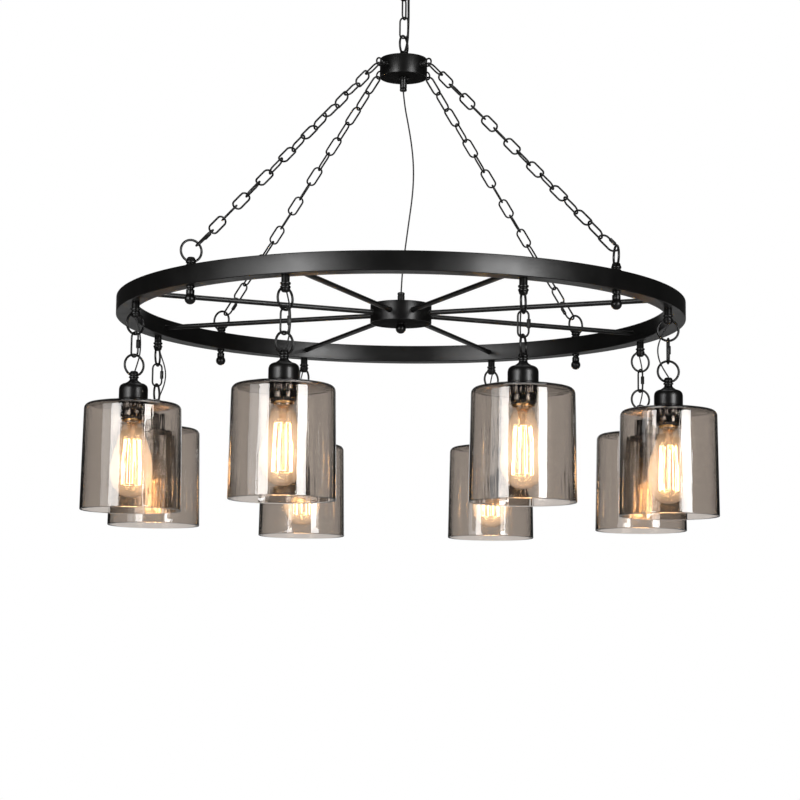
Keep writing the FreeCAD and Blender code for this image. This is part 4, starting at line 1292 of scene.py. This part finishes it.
canopy_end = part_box("canopy")[0].z - 0.2 * MM - COLLAR_HEIGHT
drum_loop_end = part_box("drum")[1].z + COLLAR_HEIGHT
top_along = Vector(JOINTS["chain_sway"]["axis"])
feed_line = smooth_line("feed line", routed(FEED_ROUTE, UP * canopy_end, UP * drum_loop_end,
                                            top_along.cross(UP), top_along, FEED_EXIT))
feed_cuts = [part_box("ceiling_top_link")[0].z + ABOVE_LINK_END,
             JOINTS["chain_turn"]["pos_m"][2] - BELOW_TURN]
feed_bodies = ["ceiling_mount", "top_link", "ceiling_chain", "fixture"]
for k, stretch in enumerate(parted(feed_line, *feed_cuts)):
    bending_cord("feed_flex_%d" % (k + 1), stretch, FEED_CORD_R, "feed_cord", *feed_bodies[k:k + 2])
    print("feed stretch", k + 1, round(length_of(stretch), 4))

# %% [markdown]
# Each lamp's lead comes out beside its hanger's ring and goes down past the quick link.  It
# is parted halfway, because the joints lie at the link's two ends.

# %% Lamp leads
collar_end = rim_low.z - TUBE_LENGTH - COLLAR_HEIGHT
lamp_collar_top = CUP_BOTTOM + CUP_HEIGHT + NECK_HEIGHT + LAMP_COLLAR_HEIGHT
for number, route in enumerate(LEAD_ROUTES, 1):
    swing = JOINTS["link_%d_swing" % number]
    along, axis = Vector(swing["axis"]), Vector((*swing["pos_m"][:2], 0))
    points = routed(route, axis + UP * collar_end, axis + UP * lamp_collar_top,
                    along.cross(UP), along, math.copysign(LEAD_EXIT, route[0][0]))
    upper, lower = parted(smooth_line("lead line", points), (collar_end + lamp_collar_top) / 2)
    name, link, lamp = "lamp_%d_lead" % number, "link_%d" % number, "lamp_%d" % number
    bending_cord(name + "_upper", upper, LEAD_R, "lamp_leads", "fixture", link)
    bending_cord(name + "_lower", lower, LEAD_R, "lamp_leads", link, lamp)
print("leads", len(LEAD_ROUTES))

# %% [markdown]
# The studio is a pale floor and a pale surround, both white to the camera.  A ray that was
# mirrored on its way sees white only behind the object, and a dim room elsewhere, so that
# glass and black paint keep deep tones.  Light Path tells the rays apart: its Glossy Depth
# counts how often a ray was mirrored.

# %% Telling rays apart
def maths(tree, operation, first, second):
    """One step of arithmetic.  Each value is a number or another node's output."""
    node = node_in(tree, "ShaderNodeMath", operation=operation)
    for socket, value in zip(node.inputs, (first, second)):
        if isinstance(value, (int, float)):
            socket.default_value = value
        else:
            tree.links.new(value, socket)
    return node.outputs[0]


def faded(tree, value, near, far):
    """1 at 'near' and on its own side of the fade, and 0 at 'far' and beyond."""
    fade = node_in(tree, "ShaderNodeMapRange")
    for key, number in (("From Min", near), ("From Max", far), ("To Min", 1.0), ("To Max", 0.0)):
        fade.inputs[key].default_value = number
    tree.links.new(value, fade.inputs["Value"])
    return fade.outputs["Result"]


def shows_backdrop(tree, rays):
    """1 for camera, gloss and glass."""
    seen = maths(tree, "MAXIMUM", rays.outputs["Is Camera Ray"], rays.outputs["Is Glossy Ray"])
    return maths(tree, "MAXIMUM", seen, rays.outputs["Is Transmission Ray"])


def unless_reflected(tree, rays, strength):
    """1 for a ray that came straight or only through glass, otherwise 'strength'."""
    straight = maths(tree, "LESS_THAN", rays.outputs["Glossy Depth"], 0.5)
    return maths(tree, "MAXIMUM", straight, strength)


print("ready to tell mirrored rays from straight ones")

# %% [markdown]
# The surround's white lies round one fixed direction of the room, behind the object, and
# fades out beside it.  What the rest of the room gives as plain light is a separate value.

# %% Surround
BACKDROP_MIDDLE = (0.011, 0.0, 0.126)   # beside +Y, the direction that lies behind the object
BACKDROP_SHAPE = (1.0, 0.0, 1.5)        # wider than it is high
WHITE_WITHIN, DIM_BEYOND = 0.12, 0.34   # how far off its middle the white reaches
STUDIO_DIM = 0.025                      # the rest of the room, as gloss shows it
ROOM_LIGHT = 0.3


def surround():
    world = bpy.data.worlds.new("pale surround")
    bpy.context.scene.world = world
    world.use_nodes = True
    tree = world.node_tree
    tree.nodes.clear()
    rays = node_in(tree, "ShaderNodeLightPath")
    shown, light = node_in(tree, "ShaderNodeBackground"), node_in(tree, "ShaderNodeBackground")
    for background in (shown, light):
        background.inputs["Color"].default_value = (1, 1, 1, 1)
    light.inputs["Strength"].default_value = ROOM_LIGHT
    place = node_in(tree, "ShaderNodeTexCoord")
    parts = node_in(tree, "ShaderNodeSeparateXYZ")
    away = node_in(tree, "ShaderNodeVectorMath", operation="SUBTRACT")
    away.inputs[1].default_value = BACKDROP_MIDDLE
    flat = node_in(tree, "ShaderNodeVectorMath", operation="MULTIPLY")
    flat.inputs[1].default_value = BACKDROP_SHAPE
    off = node_in(tree, "ShaderNodeVectorMath", operation="LENGTH")
    mix, out = node_in(tree, "ShaderNodeMixShader"), node_in(tree, "ShaderNodeOutputWorld")
    link = tree.links.new
    link(place.outputs["Generated"], parts.inputs["Vector"])
    link(place.outputs["Generated"], away.inputs[0])
    link(away.outputs["Vector"], flat.inputs[0])
    link(flat.outputs["Vector"], off.inputs[0])
    behind = maths(tree, "GREATER_THAN", parts.outputs["Y"], 0.0)
    near = faded(tree, off.outputs["Value"], WHITE_WITHIN, DIM_BEYOND)
    studio = maths(tree, "MAXIMUM", maths(tree, "MULTIPLY", near, behind), STUDIO_DIM)
    link(unless_reflected(tree, rays, studio), shown.inputs["Strength"])
    link(shows_backdrop(tree, rays), mix.inputs["Fac"])
    link(light.outputs[0], mix.inputs[1])
    link(shown.outputs[0], mix.inputs[2])
    link(mix.outputs[0], out.inputs["Surface"])


surround()
print("surround: white behind the object, room light", ROOM_LIGHT)

# %% [markdown]
# The floor is a pale sheet far below.  Its colour is lit by the lamps, so it keeps the
# object's shadow, and a glow brings it up to white.  It is clear from below, so that a view
# from under the lamps isn't blocked.

# %% Floor
FLOOR_Z, FLOOR_HALF, FLOOR_TONE = -2.2, 6.0, 0.4
FLOOR_LIT = 0.17                        # how bright the lit floor is by itself
FLOOR_WHITE_Y, FLOOR_DIM_Y = 5.0, 3.5   # gloss sees white only where floor and backdrop meet


def floor():
    half, z = FLOOR_HALF, FLOOR_Z
    mesh = bpy.data.meshes.new("floor")
    corners = [(-half, -half, z), (half, -half, z), (half, half, z), (-half, half, z)]
    mesh.from_pydata(corners, [], [(0, 1, 2, 3)])
    material = bpy.data.materials.new("pale floor")
    material.use_nodes = True
    tree = material.node_tree
    shader = tree.nodes["Principled BSDF"]
    shader.inputs["Base Color"].default_value = (FLOOR_TONE, FLOOR_TONE, FLOOR_TONE, 1)
    shader.inputs["Roughness"].default_value = 0.9
    shader.inputs["Specular IOR Level"].default_value = 0.0
    shader.inputs["Emission Color"].default_value = (1, 1, 1, 1)
    rays = node_in(tree, "ShaderNodeLightPath")
    place = node_in(tree, "ShaderNodeTexCoord")
    parts = node_in(tree, "ShaderNodeSeparateXYZ")
    tree.links.new(place.outputs["Object"], parts.inputs["Vector"])
    far_part = faded(tree, parts.outputs["Y"], FLOOR_WHITE_Y, FLOOR_DIM_Y)
    unmirrored = unless_reflected(tree, rays, far_part)
    share = maths(tree, "MULTIPLY", shows_backdrop(tree, rays), unmirrored)
    glow_strength = maths(tree, "MULTIPLY", share, 1 - FLOOR_LIT)
    tree.links.new(glow_strength, shader.inputs["Emission Strength"])
    side = node_in(tree, "ShaderNodeNewGeometry")
    clear = node_in(tree, "ShaderNodeBsdfTransparent")
    one_sided = node_in(tree, "ShaderNodeMixShader")
    tree.links.new(side.outputs["Backfacing"], one_sided.inputs["Fac"])
    tree.links.new(shader.outputs["BSDF"], one_sided.inputs[1])
    tree.links.new(clear.outputs["BSDF"], one_sided.inputs[2])
    tree.links.new(one_sided.outputs["Shader"], tree.nodes["Material Output"].inputs["Surface"])
    obj = bpy.data.objects.new("floor", mesh)
    mesh.materials.append(material)
    bpy.context.scene.collection.objects.link(obj)


floor()
print("floor at", FLOOR_Z)

# %% [markdown]
# An area lamp is hidden from rays that come through glass, or it would show straight through
# the shades.  But a bulb inside its shade mirrors the softboxes through the shade's wall, so
# each softbox has a card of the same size that only such rays can see.

# %% Reflector cards
def reflector_card(name, place, size, radiance):
    """Shown to rays that were mirrored and then came out through glass, and clear to the rest."""
    material = bpy.data.materials.new(name)
    material.use_nodes = True
    tree = material.node_tree
    tree.nodes.clear()
    rays = node_in(tree, "ShaderNodeLightPath")
    shine, clear = node_in(tree, "ShaderNodeEmission"), node_in(tree, "ShaderNodeBsdfTransparent")
    shine.inputs["Strength"].default_value = radiance
    mix, out = node_in(tree, "ShaderNodeMixShader"), node_in(tree, "ShaderNodeOutputMaterial")
    mirrored = maths(tree, "GREATER_THAN", rays.outputs["Glossy Depth"], 0.5)
    seen = maths(tree, "MULTIPLY", mirrored, rays.outputs["Is Transmission Ray"])
    tree.links.new(seen, mix.inputs["Fac"])
    tree.links.new(clear.outputs[0], mix.inputs[1])
    tree.links.new(shine.outputs[0], mix.inputs[2])
    tree.links.new(mix.outputs[0], out.inputs["Surface"])
    material.cycles.emission_sampling = "NONE"
    w, h = size[0] / 2, size[1] / 2
    mesh = bpy.data.meshes.new(name)
    mesh.from_pydata([(-w, -h, 0), (w, -h, 0), (w, h, 0), (-w, h, 0)], [], [(0, 1, 2, 3)])
    mesh.transform(place)
    mesh.materials.append(material)
    obj = bpy.data.objects.new(name, mesh)
    for ray in ("camera", "diffuse", "glossy", "shadow", "volume_scatter"):
        setattr(obj, "visible_" + ray, False)
    bpy.context.scene.collection.objects.link(obj)


print("ready to set a card beside each softbox")

# %% [markdown]
# Two tall softboxes stand left and right of the camera, and draw the two white bands on
# every glass.  A weaker wing widens the left one, and a fourth hangs above.

# %% Softboxes
LAMPS_MIDDLE_Z = -0.4


def softbox(name, at, size, radiance, towards):
    lamp = bpy.data.lights.new(name, "AREA")
    lamp.shape, lamp.size, lamp.size_y = "RECTANGLE", size[0], size[1]
    lamp.energy = radiance * math.pi * size[0] * size[1]
    obj = bpy.data.objects.new(name, lamp)
    turn = (towards - at).to_track_quat("-Z", "Y")
    obj.location, obj.rotation_euler = at, turn.to_euler()
    obj.visible_camera = False
    obj.visible_transmission = False
    bpy.context.scene.collection.objects.link(obj)
    place = Matrix.Translation(at) @ turn.to_matrix().to_4x4()
    reflector_card(name + " card", place, size, radiance)


for name, angle, distance, width, height, radiance in (
        ("left softbox", -38.25, 2.9, 1.08, 1.3, 12),
        ("left wing", -58.5, 2.9, 0.95, 1.3, 3),
        ("right softbox", 38.0, 3.5, 1.26, 1.5, 17)):
    a = math.radians(angle)             # from the camera's side, round the wheel's axis
    softbox(name, Vector((distance * math.sin(a), -distance * math.cos(a), LAMPS_MIDDLE_Z)),
            (width, height), radiance, UP * LAMPS_MIDDLE_Z)
softbox("top softbox", at=Vector((0.2, 0.2, 1.9)), size=(2.0, 2.0), radiance=1.75,
        towards=UP * -0.75)
print("softboxes", sum(light.type == "AREA" for light in bpy.data.lights))
